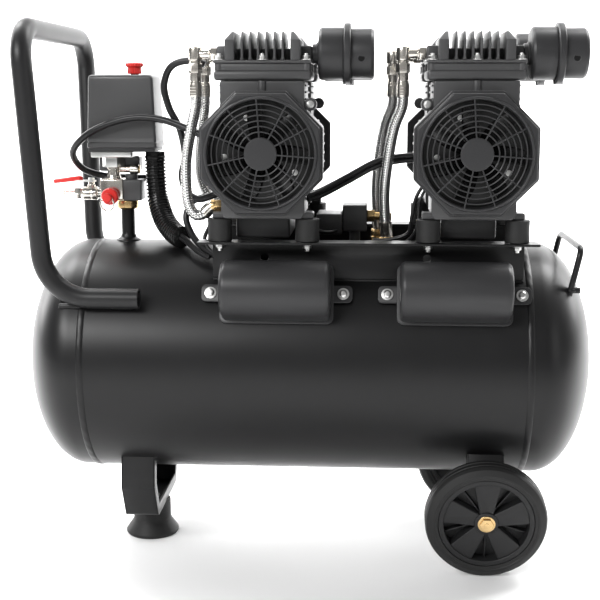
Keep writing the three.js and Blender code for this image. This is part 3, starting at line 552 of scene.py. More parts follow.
def make(name, shape, finish, body=FRAME_BODY, stands_for=(), crease=32):
    """One object at the origin that rides on a body and may stand for CAD nodes."""
    mesh = bpy.data.meshes.new(name)
    v = shape.v * 0.001 + ORIGIN
    mesh.vertices.add(len(v))
    mesh.vertices.foreach_set("co", v.astype(np.float32).ravel())
    loops = np.concatenate([shape.q.ravel(), shape.t.ravel()])
    sizes = np.concatenate([np.full(len(shape.q), 4), np.full(len(shape.t), 3)])
    mesh.loops.add(len(loops))
    mesh.loops.foreach_set("vertex_index", loops.astype(np.int32))
    mesh.polygons.add(len(sizes))
    starts = np.concatenate([[0], np.cumsum(sizes)[:-1]])
    mesh.polygons.foreach_set("loop_start", starts.astype(np.int32))
    mesh.update(calc_edges=True)
    uv = np.vstack([shape.uv.reshape(-1, 2), np.zeros((shape.t.size, 2))])
    mesh.uv_layers.new(name="run").data.foreach_set("uv", uv.astype(np.float32).ravel())
    mesh.shade_smooth()
    mesh.set_sharp_from_angle(angle=math.radians(crease))
    mesh.materials.append(finish.material)
    made = bpy.data.objects.new(name, mesh)
    bpy.context.scene.collection.objects.link(made)
    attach(made, body)
    if stands_for:
        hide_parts(*([stands_for] if isinstance(stands_for, str) else stands_for))
    return made


def bolt(axis, flats, start, end, washer=0.0, centre=(0, 0, 0)):
    """A hexagon head with a washer under it. The head grows from start towards end."""
    way = 1 if end > start else -1
    pieces = [hexagon(axis, flats, *sorted((start + way * washer, end)), centre=centre)]
    if washer:
        rim = sorted((start, start + way * washer))
        pieces.append(bar(axis, flats * 0.82, *rim, centre=centre, soft=0.3))
    return total(pieces)


# ---------- Tank, handles, rails ----------


def build_tank():
    """Cylinder with 2:1 elliptical ends: r = R sin a, x = end + depth cos a."""
    turn = np.radians(np.linspace(0, 90, 49))[1:]
    dome = [(TANK_R * math.sin(a), SEAM + FLANGE + HEAD_DEPTH * math.cos(a)) for a in turn]
    bead = arc(4.5, 20, 160, 10) * np.array([1, 0.42])
    seam = [(TANK_R + y - 0.6, SEAM + x) for x, y in bead]
    right = [(0, TANK_END)] + dome + seam
    left = [(r, -x) for r, x in reversed(right)]

    def weld(angle, radius, place):
        proud = np.clip((radius - TANK_R) / 1.2, 0, 1)
        return proud * 0.18 * np.sin(angle * 190 + place * 0.4)

    shell = lathe("x", right + left, (0, 0, TANK_AXIS), 240, ripple=weld)
    dot = lathe("z", [(0, 0), (2.5, 0), (2.2, 1.2), (0, 1.6)], (-228, 0, above_tank(0) - 1.4), 16, 0.4)
    make("tank_shell", shell + dot, ENAMEL, stands_for="tank")


def handle_path():
    """The tube's middle line: along the tank's left end, up, across and down again."""
    seat = TANK_R + 1.8 + HANDLE_TUBE_R
    y = seat * math.cos(HANDLE_TILT)
    z = TANK_AXIS + seat * math.sin(HANDLE_TILT)
    half = [(-203, -y, z), (-320, -y, z), (-333, -165, 678)]
    corners = half + [(x, -y, z) for x, y, z in reversed(half)]
    return rounded(corners, [0, 68, 40, 40, 68, 0], steps=18)


def build_handles():
    loop = tube(handle_path(), HANDLE_TUBE_R, 48, bore=10.7)
    make("carry_handle_tube", loop, TUBE_COAT, stands_for="carry_handle")
    welds = []
    for side in SIDES.values():
        out = np.array([0, side * math.cos(HANDLE_TILT), math.sin(HANDLE_TILT)])
        for x in (-292, -226):
            spot = np.array([x, 0, TANK_AXIS]) + out * (TANK_R + 0.6)
            bead = lathe("x", [(0, -15), (3.4, -13), (3.8, 0), (3.4, 13), (0, 15)], sides=16, soft=2.0)
            for lean in (-4.5, 4.5):
                across = np.array([0, -out[2], out[1]]) * lean
                welds.append(bead.moved(*(spot + across)))
    make("carry_handle_welds", total(welds), ENAMEL)

    rod_r, half_width, top_z = 3.9, 85.0, 411.0
    foot_x, top_x = TANK_END - 40, TANK_END - 26
    foot_z = TANK_AXIS + TANK_R * 0.6
    near = [(foot_x, -half_width, foot_z), (top_x, -half_width, top_z)]
    corners = near + [(x, -y, z) for x, y, z in reversed(near)]
    grip = tube(rounded(corners, [0, 12, 12, 0], steps=8), rod_r, 24)
    stub = bar("x", rod_r, foot_x, foot_x + 14, (0, -half_width, foot_z + 11.7), 24)
    drop = [(0, -3), (5.4, -2), (6.2, 0), (5.0, 2), (0, 3)]
    feet = [(foot_x + 3.5, side * half_width, foot_z + 11.5) for side in SIDES.values()]
    blobs = total(lathe("z", drop, foot, 20, 1.0) for foot in feet)
    make("end_handle_rod", grip + stub + blobs, ENAMEL, stands_for="end_handle")


def build_rails():
    """An angle under each row of mounts: flange, skirt, the bend between them and a weld along the tank."""
    low, high = span("front_rail")
    x0, x1 = low[0], high[0]
    centre, reach = (x0 + x1) / 2, 193
    base = above_tank(99) - 1.5
    for place, side in SIDES.items():
        y0, y1 = on_side(side, 96, 128)
        studs = [circle(3.6, 20, (px + s * 54, side * 111.5)) for px in PUMPS.values() for s in (-1, 1)]
        outline = [(x0, y0), (x1, y0), (x1, y1), (x0, y1)]
        flange = carried(outline, "z", RAIL_TOP - 3, RAIL_TOP, 3.0, 0.6, studs)
        holes = [circle(5, 24, (x, RAIL_TOP - 22)) for x in (PUMPS["left"], PUMPS["right"] - 54)]
        edges = [(centre - reach, base), (centre + reach, base)]
        edges += [(x, RAIL_TOP - 0.6) for x, _ in reversed(edges)]
        skirt = carried(edges, "y", *on_side(side, 96, 99), 2.0, 0.5, holes if place == "front" else [])
        bend = bar("x", 3.0, -reach, reach, (centre, side * 98.6, RAIL_TOP - 3.6), 24, 0.5)
        along = np.linspace(centre - reach, centre + reach, 60)
        weld = tube([(x, side * 99.2, base + 1.4) for x in along], 1.9, 10)
        make(f"{place}_rail_angle", flange + skirt + bend + weld, ENAMEL, stands_for=f"{place}_rail")


# ---------- Leg, foot, wheels ----------


def channel(line, x, width, bend=9.0):
    """A bent sheet 3 mm thick along x, with a lip 14 mm deep on both edges."""
    outer = rounded(line, bend, 6)
    web = np.vstack([outer, offset_line(outer, 3)[::-1]])
    lip = np.vstack([outer, offset_line(line, 14)[::-1]])
    x0, x1 = x - width / 2, x + width / 2
    parts = [carried(web, "x", x0 + 0.2, x1 - 0.2, edge=0.4)]
    parts += [carried(lip, "x", a, a + 3, edge=0.8) for a in (x0, x1 - 3)]
    return total(parts)


def build_leg():
    """The bent channel under the tank's left end, the cone-shaped foot and its screw."""
    x = middle("foot")[0]
    foot_top = span("foot")[1][2]
    front = [(-91, 154), (-97, 94), (-72, 48)]
    rear = [(-y, z) for y, z in reversed(front)]
    make("leg_channel", channel(front + rear, x, 44), ENAMEL, stands_for="leg")
    profile = [(0, 0), (34, 0), (36, 3), (36, 5), (27, 18), (25.5, 22), (25.5, foot_top), (0, foot_top)]
    screw = bolt("z", 13, 51, 58, 1.6, (x, 0, 0))
    make("foot_rubber", lathe("z", profile, (x, 0, 0), 72, 1.5), RUBBER, stands_for="foot")
    make("foot_screw", screw, ZINC)


def build_wheel(place, side):
    """The wheel leans by its camber, so each piece is made upright and then turned and moved."""
    camber, track, tyre_r, tyre_half, tread_half = 9.5, 133.0, 76.0, 16.5, 8.25
    lean = math.radians(camber)
    hub_z = tyre_r * math.cos(lean) + tread_half * math.sin(lean)
    hub = np.array([middle(f"{place}_tyre")[0], side * track, hub_z])

    def fit(shape):
        return shape.turned("x", -side * camber).moved(*hub)

    wall = [(60.1, -15), (64, -15.6), (64.6, -16.4), (67, -tyre_half), (74, -13.2), (tyre_r, -tread_half)]
    groove = [(tyre_r, -4.9), (tyre_r - 1, -4.3), (tyre_r - 1, -3.7), (tyre_r, -3.1)]
    profile = wall + groove
    profile += [(r, -y) for r, y in reversed(profile)]
    tyre = lathe("y", profile, sides=144, soft=0.7)
    make(f"{place}_tyre_ring", fit(tyre), TYRE, f"{place}_wheel", f"{place}_tyre")

    band = lathe("y", [(53, -14.5), (59.9, -14.5), (59.9, 14.5), (53, 14.5)], sides=120, soft=1.4)
    web = bar("y", 53.5, side * -6, side * -2, sides=96, soft=0)
    inner = bar("y", 15, -14.5, 14.5, sides=48, soft=1.2)
    spokes = []
    for i in range(5):
        mid = 90 + 72 * i
        sector = np.vstack([arc(53.6, mid - 18, mid + 18, 12), arc(12, mid + 40, mid - 40, 6)])
        spokes.append(carried(sector, "y", *on_side(side, -4, 13), corner=1.5, edge=1.4))
        rib = np.vstack([arc(53.6, mid + 35, mid + 37, 2), arc(13, mid + 41, mid + 31, 2)])
        spokes.append(carried(rib, "y", *on_side(side, -4, 5), edge=0.6))
    rim = total([band, web, inner, *spokes])
    make(f"{place}_rim", fit(rim), RIM_PLASTIC, f"{place}_wheel", f"{place}_wheel_rim")

    head = bar("y", 11, *on_side(side, 14.8, 15.8), soft=0.4) + hexagon("y", 15.5, *on_side(side, 15.8, 19.0))
    shank = bar("y", 6, *on_side(side, -33.5, 15)) + hexagon("y", 17, *on_side(side, -29.5, -21.8))
    tip = bar("y", 3.4, *on_side(side, 18.6, 19.6), soft=0.4)
    make(f"{place}_axle", fit(head + shank + tip), BRASS, stands_for=f"{place}_axle_bolt")

    sheet_in = tyre_half + 2
    inward = np.array([-side * math.cos(lean), math.sin(lean)])
    upward = np.array([side * math.sin(lean), math.cos(lean)])
    rise = (125 - hub_z) / math.cos(lean)
    line = [
        np.array([side * 102, TANK_AXIS - TANK_R + 68]),
        hub[1:] + inward * sheet_in + upward * rise,
        hub[1:] + inward * sheet_in - upward * 18,
    ]
    if side > 0:
        line.reverse()
    bracket = channel(np.array(line), hub[0], 46, 6.0)
    make(f"{place}_wheel_arm", bracket, ENAMEL, stands_for=f"{place}_wheel_bracket")


# ---------- Pumps ----------


def octagon(flats):
    """Corners of an octagon by its width over the flats: half a side is half the width times tan 22.5."""
    a, b = flats / 2, flats / 2 * math.tan(math.pi / 8)
    return np.array([(b, a), (a, b), (a, -b), (b, -a), (-b, -a), (-a, -b), (-a, b), (-b, a)])


def build_body(name, x):
    """Motor, two crankcases with ribs and feet, a tray below and a lug with its bolt on each side."""
    core = carried(octagon(136) + np.array([x, SHAFT]), "y", -41, 41, 7.0, 1.0)
    strips = []
    for face in range(8):
        for shift in (-18, -6, 6, 18):
            strip = block(shift - 1.6, shift + 1.6, -38, 38, 66.5, 69.3, 0.8)
            strips.append(strip.turned("y", 45 * face).moved(x, 0, SHAFT))
    ends, bolts = [], []
    lug_step = 1 if name == "left" else -1
    for side in SIDES.values():
        low = [(x - CASE_HALF_X, PUMP_BASE + 6), (x - CASE_HALF_X + 4, PUMP_BASE)]
        low += [(2 * x - corner, z) for corner, z in reversed(low)]
        case = low + [(x + CASE_HALF_X, CRANK_TOP), (x - CASE_HALF_X, CRANK_TOP)]
        ends.append(carried(case, "y", *on_side(side, 40, CASE_END_Y), 3.0, 2.0))
        ends.append(bar("z", 5.2, SHAFT + 70, CRANK_TOP, (x, side * 122.5, 0)))
        for z in (586, 594, 602, 610):
            ends.append(block(x - 53, x + 53, side * 80 - 34, side * 80 + 34, z - 1.2, z + 1.2, 0.9))
        for step in (-1, 1):
            pad = (x + step * 52 - 10, x + step * 52 + 10, side * 108 - 12, side * 108 + 12)
            ends.append(block(*pad, PUMP_BASE - 0.2, PUMP_BASE + 8, 2.0))
        lug = (x + lug_step * 58, side * 114, SHAFT + 58)
        ends.append(bar("y", 7.6, -7, 7, lug, 40, 1.2))
        arm = sorted((x + lug_step * 44, x + lug_step * 58))
        ends.append(block(*arm, lug[1] - 5, lug[1] + 5, lug[2] - 7, lug[2] + 4, 1.5))
        spot = (lug[0], 0, lug[2])
        bolts.append(hexagon("y", 7.0, *on_side(side, 121, 125.4), spot))
        bolts.append(bar("y", 4.6, *on_side(side, 120.8, 121.8), spot))
    tray = block(x - 37, x + 31, -84, 84, RAIL_TOP + 1, PUMP_BASE - 1, 3.0)
    shape = total([core, tray, *strips, *ends])
    make(f"{name}_castings", shape, CASTING, stands_for=f"{name}_pump_body")
    make(f"{name}_case_bolts", total(bolts), ZINC)


def build_rotor(name, x):
    """A stepped shaft, and at each end a fan of seven blades, whose pitch eases towards the tip."""
    profile = [(0, -143.7), (8, -143.7), (8, -26), (40, -26), (40, 26), (8, 26), (8, 143.7), (0, 143.7)]
    body = f"{name}_rotor_set"
    make(f"{name}_shaft", lathe("y", profile, (x, 0, SHAFT), 64, 0.6), STEEL, body, f"{name}_rotor")
    for place, side in SIDES.items():
        mid = side * (CASE_END_Y + 11)
        hub = lathe("y", [(8.4, -8), (17, -8), (17, 8), (8.4, 8)], sides=48, soft=1.0)
        collar = [(8.4, side * 7), (11, side * 7), (11, side * 8.6), (8.4, side * 8.6)]
        collar = lathe("y", collar, sides=32, soft=0.3)
        blades = []
        for i in range(7):
            sections = []
            for r in np.linspace(15.5, 58, 10):
                share = (r - 15.5) / 42.5
                pitch = math.radians(side * (44 - 12 * share))
                chord = 12 * (0.86 + 0.2 * math.sin(math.pi * share))
                turn = np.linspace(0, 2 * math.pi, 18, endpoint=False)
                a, b = chord * np.cos(turn), 0.95 * np.sin(turn) + 1.6 * np.cos(turn) ** 2 - 0.8
                across = a * math.cos(pitch) - b * math.sin(pitch)
                depth = a * math.sin(pitch) + b * math.cos(pitch)
                sweep = across + side * 5 * share**2
                sections.append(np.stack([np.sqrt(np.maximum(r * r - sweep**2, 1)), -depth, sweep], -1))
            blades.append(loft(sections).turned("y", 360 / 7 * i))
        fan = total([hub, collar, *blades]).moved(x, mid, SHAFT)
        make(f"{name}_{place}_fan_wheel", fan, FAN_PLASTIC, body, f"{name}_{place}_fan")


def build_shroud(name, x, place, side):
    """Octagonal frame in two steps, a round collar, and a grille of spokes and rings round a hub disc."""
    front = 152
    centre = (x, 0, SHAFT)
    bore = circle(64.6, 96)
    back = carried(octagon(148), "y", *on_side(side, 124, 142), 5.0, 1.2, [bore], 3)
    face = carried(octagon(143), "y", *on_side(side, 141.6, 149), 5.0, 2.6, [bore], 4)
    collar = [(64, 124.5), (67.3, 124.5), (68.2, 148.5)]
    collar += [(67.2, front - 0.6), (65.4, front), (64, front - 1.6)]
    collar = lathe("y", [(r, side * y) for r, y in collar], sides=120, soft=1.0)
    dish = [(0, 148.6), (19.7, 148.6), (19.7, 150.6), (18.4, 151.5), (0, 151.2)]
    dish = lathe("y", [(r, side * y) for r, y in dish], sides=64, soft=0.6)
    rings = [torus("y", r, 0.85, (0, side * 150.1, 0), 96, 8) for r in (26, 32.5, 39, 45.5, 52, 58.5)]
    spokes = []
    for i in range(11):
        spoke = block(17, 65.5, side * 150 - 1.3, side * 150 + 1.3, -0.85, 0.85, 0.5)
        spokes.append(spoke.turned("y", 360 / 11 * i - 94))
    post = bar("y", 3.4, *on_side(side, 124, 146), centre=(68.5, 0, 0), sides=20)
    posts = [post.turned("y", 45 + 90 * i) for i in range(4)]
    # The plate behind the fan is real, but its near-black colour is painted shade inside the housing.
    sheet = [(14, side * 124), (66, side * 124), (66, side * 125.4), (14, side * 125.4)]
    plate = lathe("y", sheet, sides=72, soft=0.3)
    make(f"{name}_{place}_back_plate", plate.moved(*centre), SHADE_BLACK_PLASTIC)
    shape = total([back, face, collar, dish, *rings, *spokes, *posts]).moved(*centre)
    stud = bar("y", 3.8, *on_side(side, 125.3, 126.4), centre=(46, 0, 0), sides=24, soft=0.5)
    studs = total(stud.turned("y", 30 + 72 * i) for i in range(5))
    make(f"{name}_{place}_guard_studs", studs.moved(*centre), ZINC)
    make(f"{name}_{place}_guard", shape, PLASTIC, stands_for=f"{name}_{place}_shroud")


def build_head(name, x, place, side):
    """Two plates, six thin fins, a thick fin with a sloping face at each end, and the cover screws."""
    y = side * HEAD_Y
    seat = CRANK_TOP + 0.3

    def slab(grow, z0, z1, soft):
        half_x, half_y = 59.5 + grow, 42 + grow
        return block(x - half_x, x + half_x, y - half_y, y + half_y, z0, z1, soft, min(soft, (z1 - z0) / 2.2))

    parts = [slab(-0.6, seat, seat + 12.5, 4.0), slab(-3.4, seat + 10, PLATE_TOP - 2, 3.0)]
    parts.append(slab(0, PLATE_TOP - 3.6, PLATE_TOP, 1.7))
    for step in (-1, 1):
        for dy in (-34, 34):
            parts.append(bar("z", 5.4, seat + 1, PLATE_TOP - 1, (x + step * 53, y + dy, 0), 28))
    high = PLATE_TOP + 34
    half_fin = [(40, PLATE_TOP - 1), (40, high - 9), (31, high)]
    fin = [(y + dy, z) for dy, z in half_fin] + [(y - dy, z) for dy, z in reversed(half_fin)]
    for i in range(6):
        mid = x + (i - 2.5) * 9.8
        slim = carried(fin, "x", mid - 1.4, mid + 1.4, 3.0, 0.8)
        foot = block(mid - 2.4, mid + 2.4, y - 39, y + 39, PLATE_TOP - 1, PLATE_TOP + 3, 1.0)
        parts += [slim, foot]
    levels = [(PLATE_TOP - 1, 40, 45.5), (high - 10, 40, 45.5), (high - 1, 32, 38.5), (high, 30.5, 37)]
    for step in (-1, 1):
        rings = []
        for z, run, edge in levels:
            inner = 35.0 if z == high else 33.6
            corners = [(inner, -run), (edge, -run), (edge, run), (inner, run)]
            corners = rounded(corners, 1.6, 3, closed=True) * np.array([step, 1]) + np.array([x, y])
            rings.append(np.column_stack([corners, np.full(len(corners), z)]))
        parts.append(loft(rings))
        a, b = sorted((x + step * 44, x + step * 58.5))
        parts.append(block(a, b, y - 12, y + 12, PLATE_TOP - 1, PLATE_TOP + 18, 2.2))
    cross = block(x - 40, x + 40, y - 7, y + 7, PLATE_TOP - 1, PLATE_TOP + 15, 2.0)
    make(f"{name}_{place}_cylinder_head", total([*parts, cross]), CASTING, stands_for=f"{name}_{place}_head")
    screws = []
    spots = [(-52.5, -35), (-52.5, 35), (52.5, -35), (52.5, 35), (0, -38), (0, 38)]
    for dx, dy in spots:
        screws.append(bolt("z", 8.5, PLATE_TOP, PLATE_TOP + 5.5, 1.2, (x + dx, y + dy, 0)))
        screws.append(bar("z", 2.6, PLATE_TOP, PLATE_TOP + 8, (x + dx, y + dy, 0), 20))
    make(f"{name}_{place}_head_bolts", total(screws), ZINC)


def build_filter(name, x, place, side):
    """Intake silencer: neck, body, knurled clamp ring and cap, with a near-black disc on the cap as painted
    shade for a small intake hole.
    """
    start = x + 58.8
    body = [(0, 7.4), (27, 7.4), (30.5, 8.6), (32, 11.5), (32, 37.6), (31.3, 37.8), (31.3, 38.4), (0, 38.4)]
    ring = [(0, 38.2), (35.6, 38.2), (37, 39.6), (37, 45.8), (35.6, 47.2), (0, 47.2)]
    cap = [(0, 47), (30.2, 47), (30.5, 71.5), (28.6, 74.6), (27, 75.5), (0, 75.5)]
    centre = (start, side * HEAD_Y, FILTER_Z)
    whole = total(lathe("x", profile, centre, 96, 0.9) for profile in (body, ring, cap))
    neck = bar("x", 12.0, 0, 9, centre, 48, 0.6) + bar("x", 14.0, 4.5, 8.5, centre, 48, 0.6)
    tongue = block(37, 48.5, -4.5, 4.5, -36.9, -30, 1.2).moved(*centre)
    silencer = total([whole, neck, tongue])
    make(f"{name}_{place}_silencer", silencer, PLASTIC, stands_for=f"{name}_{place}_filter")
    drop = -6.0
    reach = math.sqrt(30.5**2 - drop**2)
    spot = (start + 60, side * HEAD_Y - reach + 0.2, FILTER_Z + drop)
    # The intake hole is not cut: a thin near-black disc on the cap's side is painted shade for it.
    hole = bar("y", 4.0, -0.4, 0.8, spot, 32, 0.1)
    lip = torus("y", 4.3, 0.6, spot, 32, 8)
    make(f"{name}_{place}_silencer_hole_shade", hole, PAINTED_HOLE_SHADE)
    make(f"{name}_{place}_silencer_lip", lip, PLASTIC)


REAR_HOSE_OUT = 10.0
# Each hose's own way down: X from the pump's middle, Y, Z, and its share of the rear hoses' wider way round.
TO_PUMP = [(-91, 86, 560, 1), (-97, 93, 522, 1), (-97, 98, 485, 1), (-93, 100, 462, 0.5), (-85, 101, 452, 0),
           (-76, 101, 453, 0), (-68, 100, 460, 0), (-62, 100, 463, 0)]
TO_TANK = [(-96, 74, 560, 1), (-103, 64, 520, 1), (-107, 55, 480, 1), (-106, 48, 446, 1), (-104, 45, 422, 1)]


def build_hose(name, x, place, side):
    """A braided hose from a head's elbow: the left pump's go back to it, the right one's to the tank."""
    to_pump = name == "left"
    route = TO_PUMP if to_pump else TO_TANK
    y = side * HEAD_Y
    out = REAR_HOSE_OUT if place == "rear" else 0
    up = x - 86.5 - out
    fall = FILTER_Z - 50
    start = [(up, y, fall + 2), (up, y, fall - 12)]
    path = spline(start + [(x + dx - out * share, side * dy, z) for dx, dy, z, share in route], 460)
    keep = 0.9 if to_pump else 0.93
    braided = path[: int(keep * len(path))]
    reach = np.concatenate([[0], np.cumsum(np.linalg.norm(np.diff(braided, axis=0), axis=1))])
    hose = tube(braided, 6.7 + 0.28 * np.sin(reach * 2 * math.pi / 3.3), 40)
    make(f"{name}_{place}_braid", hose, BRAID, crease=60)
    ferrule = [(0, -2), (7.6, -2), (8, 0), (8, 13), (7.2, 15), (7.2, 17.5), (0, 17.5)]
    fit = [
        bar("z", 8.6, -9, 9, (up, y, FILTER_Z), 40, 2.4),
        bar("x", 6, up, x - 58.8, (0, y, FILTER_Z)),
        hexagon("x", 14.5, x - 67, x - 59.2, (0, y, FILTER_Z)),
        bar("x", 7.8, 0, 2.4, (x - 69.4, y, FILTER_Z), 40, 0.6),
        bar("z", 7.0, fall + 14, FILTER_Z, (up, y, 0)),
        hexagon("z", 15, FILTER_Z - 23, FILTER_Z - 11, (up, y, 0)),
        lathe("z", ferrule, (up, y, fall), 40, 0.6),
    ]
    fit += [torus("z", 7.8, 0.6, (up, y, fall + 2.5 + 3.4 * k), 40, 8) for k in range(3)]
    fit.append(tube(path[int((keep - 0.04) * (len(path) - 1)) :], 8.0, 24, soft=0.4))
    if to_pump:
        wall, port = x - CASE_HALF_X - 0.3, (0, side * 100, 463)
        fit.append(bar("x", 7.4, wall - 16, wall - 8, port))
        brass = hexagon("x", 15, wall - 10, wall - 1, port) + bar("x", 8.2, wall - 14.5, wall - 9, port)
    else:
        seat = (x - 104 - out, side * 45, 0)
        fit.append(bar("z", 7.2, 412, 426, seat))
        brass = hexagon("z", 16, 409.5, 420, seat) + bar("z", 10, above_tank(45) - 3, 410, seat)
    make(f"{name}_{place}_hose_fittings", total(fit), NICKEL, stands_for=f"{name}_{place}_hose")
    make(f"{name}_{place}_hose_union", brass, BRASS)


def build_mount(node):
    """A rubber block with a slight waist, and its stud and nut under the rail."""
    x, y = middle(node)[:2]
    z0, z1 = RAIL_TOP + 0.3, RAIL_TOP + 28.3
    profile = [(0, z0), (14.2, z0), (15, z0 + 0.9), (14.6, z0 + 14), (15, z1 - 0.9), (14.2, z1), (0, z1)]
    make(node + "_rubber", lathe("z", profile, (x, y, 0), 64, 0.5), RUBBER, stands_for=node)
    low_z = RAIL_TOP - 3.3
    stud = bar("z", 3, low_z - 9, z0 + 1, (x, y, 0), 24)
    stud += hexagon("z", 9.5, low_z - 5.6, low_z - 1.2, (x, y, 0))
    stud += bar("z", 8.2, low_z - 1.2, low_z, (x, y, 0), 40)
    make(node + "_stud", stud, ZINC)


def build_cover(name, x):
    """D-shaped cover on its base plate, made flat and then tilted on to the tank."""
    tilt, lift, seat = 25.0, 40.0, TANK_R + 0.3
    ny, nz = -math.cos(math.radians(tilt)), math.sin(math.radians(tilt))
    at = (x, seat * ny + lift * nz, TANK_AXIS + seat * nz - lift * ny)

    def fit(shape):
        return shape.turned("x", 90 - tilt).moved(*at)

    dome = np.vstack([[(35, 0.5)], arc(35, 0, 180, 40, (0, 22)), [(-35, 0.5)]])
    cover = carried(dome, "x", -67, 67, edge=7.0, steps=8)
    rim = [(-70.5, -38.5), (70.5, -38.5), (70.5, 38.5), (-70.5, 38.5)]
    plate = carried(rim, "z", 0, 3.2, 9.0, 1.2)
    tab = [(-93.5, -11), (93.5, -11), (93.5, 11), (-93.5, 11)]
    tabs = carried(tab, "z", 0, 2.6, 6.0, 0.6)
    make(f"{name}_shell", fit(total([cover, plate, tabs])), PLASTIC, stands_for=name)
    head = lathe("z", [(0, 3.6), (4.9, 3.6), (4.7, 6.4), (3, 7.6), (0, 7.8)], sides=32, soft=0.7)
    screw = bar("z", 7.4, 2.6, 3.9, sides=40, soft=0.3) + head
    make(f"{name}_screws", fit(screw.moved(-82) + screw.moved(82)), ZINC)


# ---------- Valve group, switch, wiring ----------


def fluted(count, least):
    """A ripple for round grips: 0.35 mm flutes, cos(count a) - 1, wherever the radius is over least."""

    def ripple(angle, radius, place):
        return np.where(radius > least, 0.35 * np.cos(angle * count) - 0.35, 0.0)

    return ripple


def build_manifold():
    """The riser on the tank and the blocks on it, up to the nut under the switch."""
    top = TANK_AXIS + TANK_R
    riser = [(0, top - 4), (17, top - 4), (16, top + 1), (11, top + 4), (9, top + 9), (9, 451), (0, 451)]
    riser = lathe("z", riser, (RISER_X, 0, 0), 64, 2.5)
    make("manifold_riser", riser, ENAMEL, stands_for="manifold")
    collar = lathe("z", [(0, 450), (12.5, 450), (13.8, 452), (13.8, 461), (0, 462)], (RISER_X, 0, 0), 48, 0.6)
    hexed = hexagon("z", 24, 452, 460, (RISER_X, 0, 0))
    side_nut = hexagon("x", 10, RISER_X + 12, RISER_X + 18, (0, -2, 502))
    make("manifold_brass", total([collar, hexed, side_nut]), BRASS)
    dark = block(RISER_X - 3, RISER_X + 21, -15, 15, 461.5, 489, 1.6)
    dark += bar("z", 8, 488, 496, (RISER_X + 6, 0, 0))
    make("check_valve_block", dark, CASTING)
    neck_x = RISER_X - NECK_OUT
    silver = block(RISER_X - 34, RISER_X - 3.2, -14, 14, 462, 490, 2.2)
    silver += lathe("z", [(0, 488), (11, 488), (8.5, 494), (8, 506), (0, 506)], (neck_x, 0, 0), 40, 1.0)
    silver += hexagon("z", 15, 495, 502, (neck_x, 0, 0))
    silver += bar("y", 7.5, -20.5, -13, (neck_x, 0, 468), 40)
    spigot = [(0, 0), (4.2, 0), (4.6, 14), (6.2, 15), (6.2, 26), (0, 27)]
    silver += lathe("x", spigot, (neck_x + 8, -2, 502), 32, 0.7)
    make("outlet_block", silver, NICKEL)
    make("switch_nut", hexagon("z", 26, 505, 518, (neck_x, 0, 0)), ZINC)
    rear = block(RISER_X - 38, RISER_X + 16, 4, 27, 499, 518.2, 2.0)
    make("unloader_body", rear, CASTING)


def build_relief():
    """The safety valve: a fluted disc, and the cap and ring that are pulled forward."""
    neck_x = RISER_X - NECK_OUT
    disc = [(0, -32), (9.5, -32), (11.4, -30), (11.4, -22.5), (10, -20.3), (0, -20.3)]
    make("relief_body", lathe("y", disc, (neck_x, 0, 468), 144, 0.7, fluted(24, 11)), RED)
    cap = [(0, -47.3), (4.6, -47.3), (6.2, -46), (6.2, -38.6), (4, -36.3), (0, -36.3)]
    cap = lathe("y", cap, (neck_x, 0, 467), 48, 0.7)
    stem = bar("y", 3.1, -38, -32, (neck_x, 0, 467.6))
    make("relief_cap", cap + stem, RED, "pull_ring", "relief_ring")
    ring = torus("y", 8.6, 1.15, (neck_x, -43.3, 459.5), 64, 14)
    make("relief_pull_ring", ring, NICKEL, "pull_ring")


def build_outlet():
    """The ball valve with its hose barb, and the lever on its stem."""
    end, axis = RISER_X - 34.3, (0, 0, OUTLET_Z)
    shell = [(0, -28), (7, -28), (8.6, -24), (8.6, -14), (9, -12), (9, -6), (7, -6), (0, -5)]
    neck = [(0, 470), (5.2, 470), (5.2, 481), (4, 482), (4, 485.2), (0, 485.2)]
    valve = [
        bar("x", 6, end - 8, end + 1, axis),
        lathe("x", shell, (end, 0, OUTLET_Z), 48, 1.0),
        hexagon("x", 15, end - 13, end - 5, axis),
        hexagon("x", 14, end - 36, end - 27, axis),
        lathe("z", neck, (end - 14, 0, 0), 32, 0.5),
    ]
    barb = [(0, -54), (3.4, -54)]
    for k in range(4):
        a = -54 + 4.2 * k
        barb += [(4.1, a + 3.4), (4.1, a + 4.0), (3.5, a + 4.2)]
    barb += [(3.6, -34), (0, -34)]
    valve.append(lathe("x", barb, (end, 0, OUTLET_Z), 32))
    make("outlet_valve", total(valve), NICKEL, stands_for="ball_valve")
    pivot, low = end - 14, 485.4
    tang = [(-22, -5), (4, -6.4), (6.6, 0), (4, 6.4), (-22, 5)]
    tang = carried(tang, "z", low, low + 2.2, 2.0, 0.4).moved(pivot)
    nut = hexagon("z", 7.5, low + 2.2, low + 5.4, (pivot, 0, 0))
    make("lever_tang", tang + nut, ZINC, "lever", "valve_lever")
    grip = [(-50, -4.6), (-47, -5.5), (-14, -5.5), (-11, 0), (-14, 5.5), (-47, 5.5), (-50, 4.6)]
    sleeve = carried(grip, "z", -2.0, 3.6, 2.0, 1.4)
    sleeve.v[:, 2] += low + np.interp(sleeve.v[:, 0], [-50, -30, -16, -11], [-0.5, 1.6, 4.4, 2.6])
    make("lever_grip", sleeve.moved(pivot), RED, "lever")


def build_drain():
    """The boss at the tank's lowest point and the low plug in it."""
    bottom = TANK_AXIS - TANK_R
    boss = [(0, bottom + 3), (12, bottom + 3), (11, bottom - 0.8), (0, bottom - 0.8)]
    make("drain_boss", lathe("z", boss, sides=40, soft=0.6), ENAMEL)
    head = carried(circle(8, 6), "z", bottom - 5.2, bottom - 2.4, corner=0.4, edge=0.5, holes=[circle(3, 6)])
    plug = head + bar("z", 7.6, bottom - 2.6, bottom - 0.6)
    make("drain_plug_head", plug, BRASS, "drain_plug", "drain_valve")


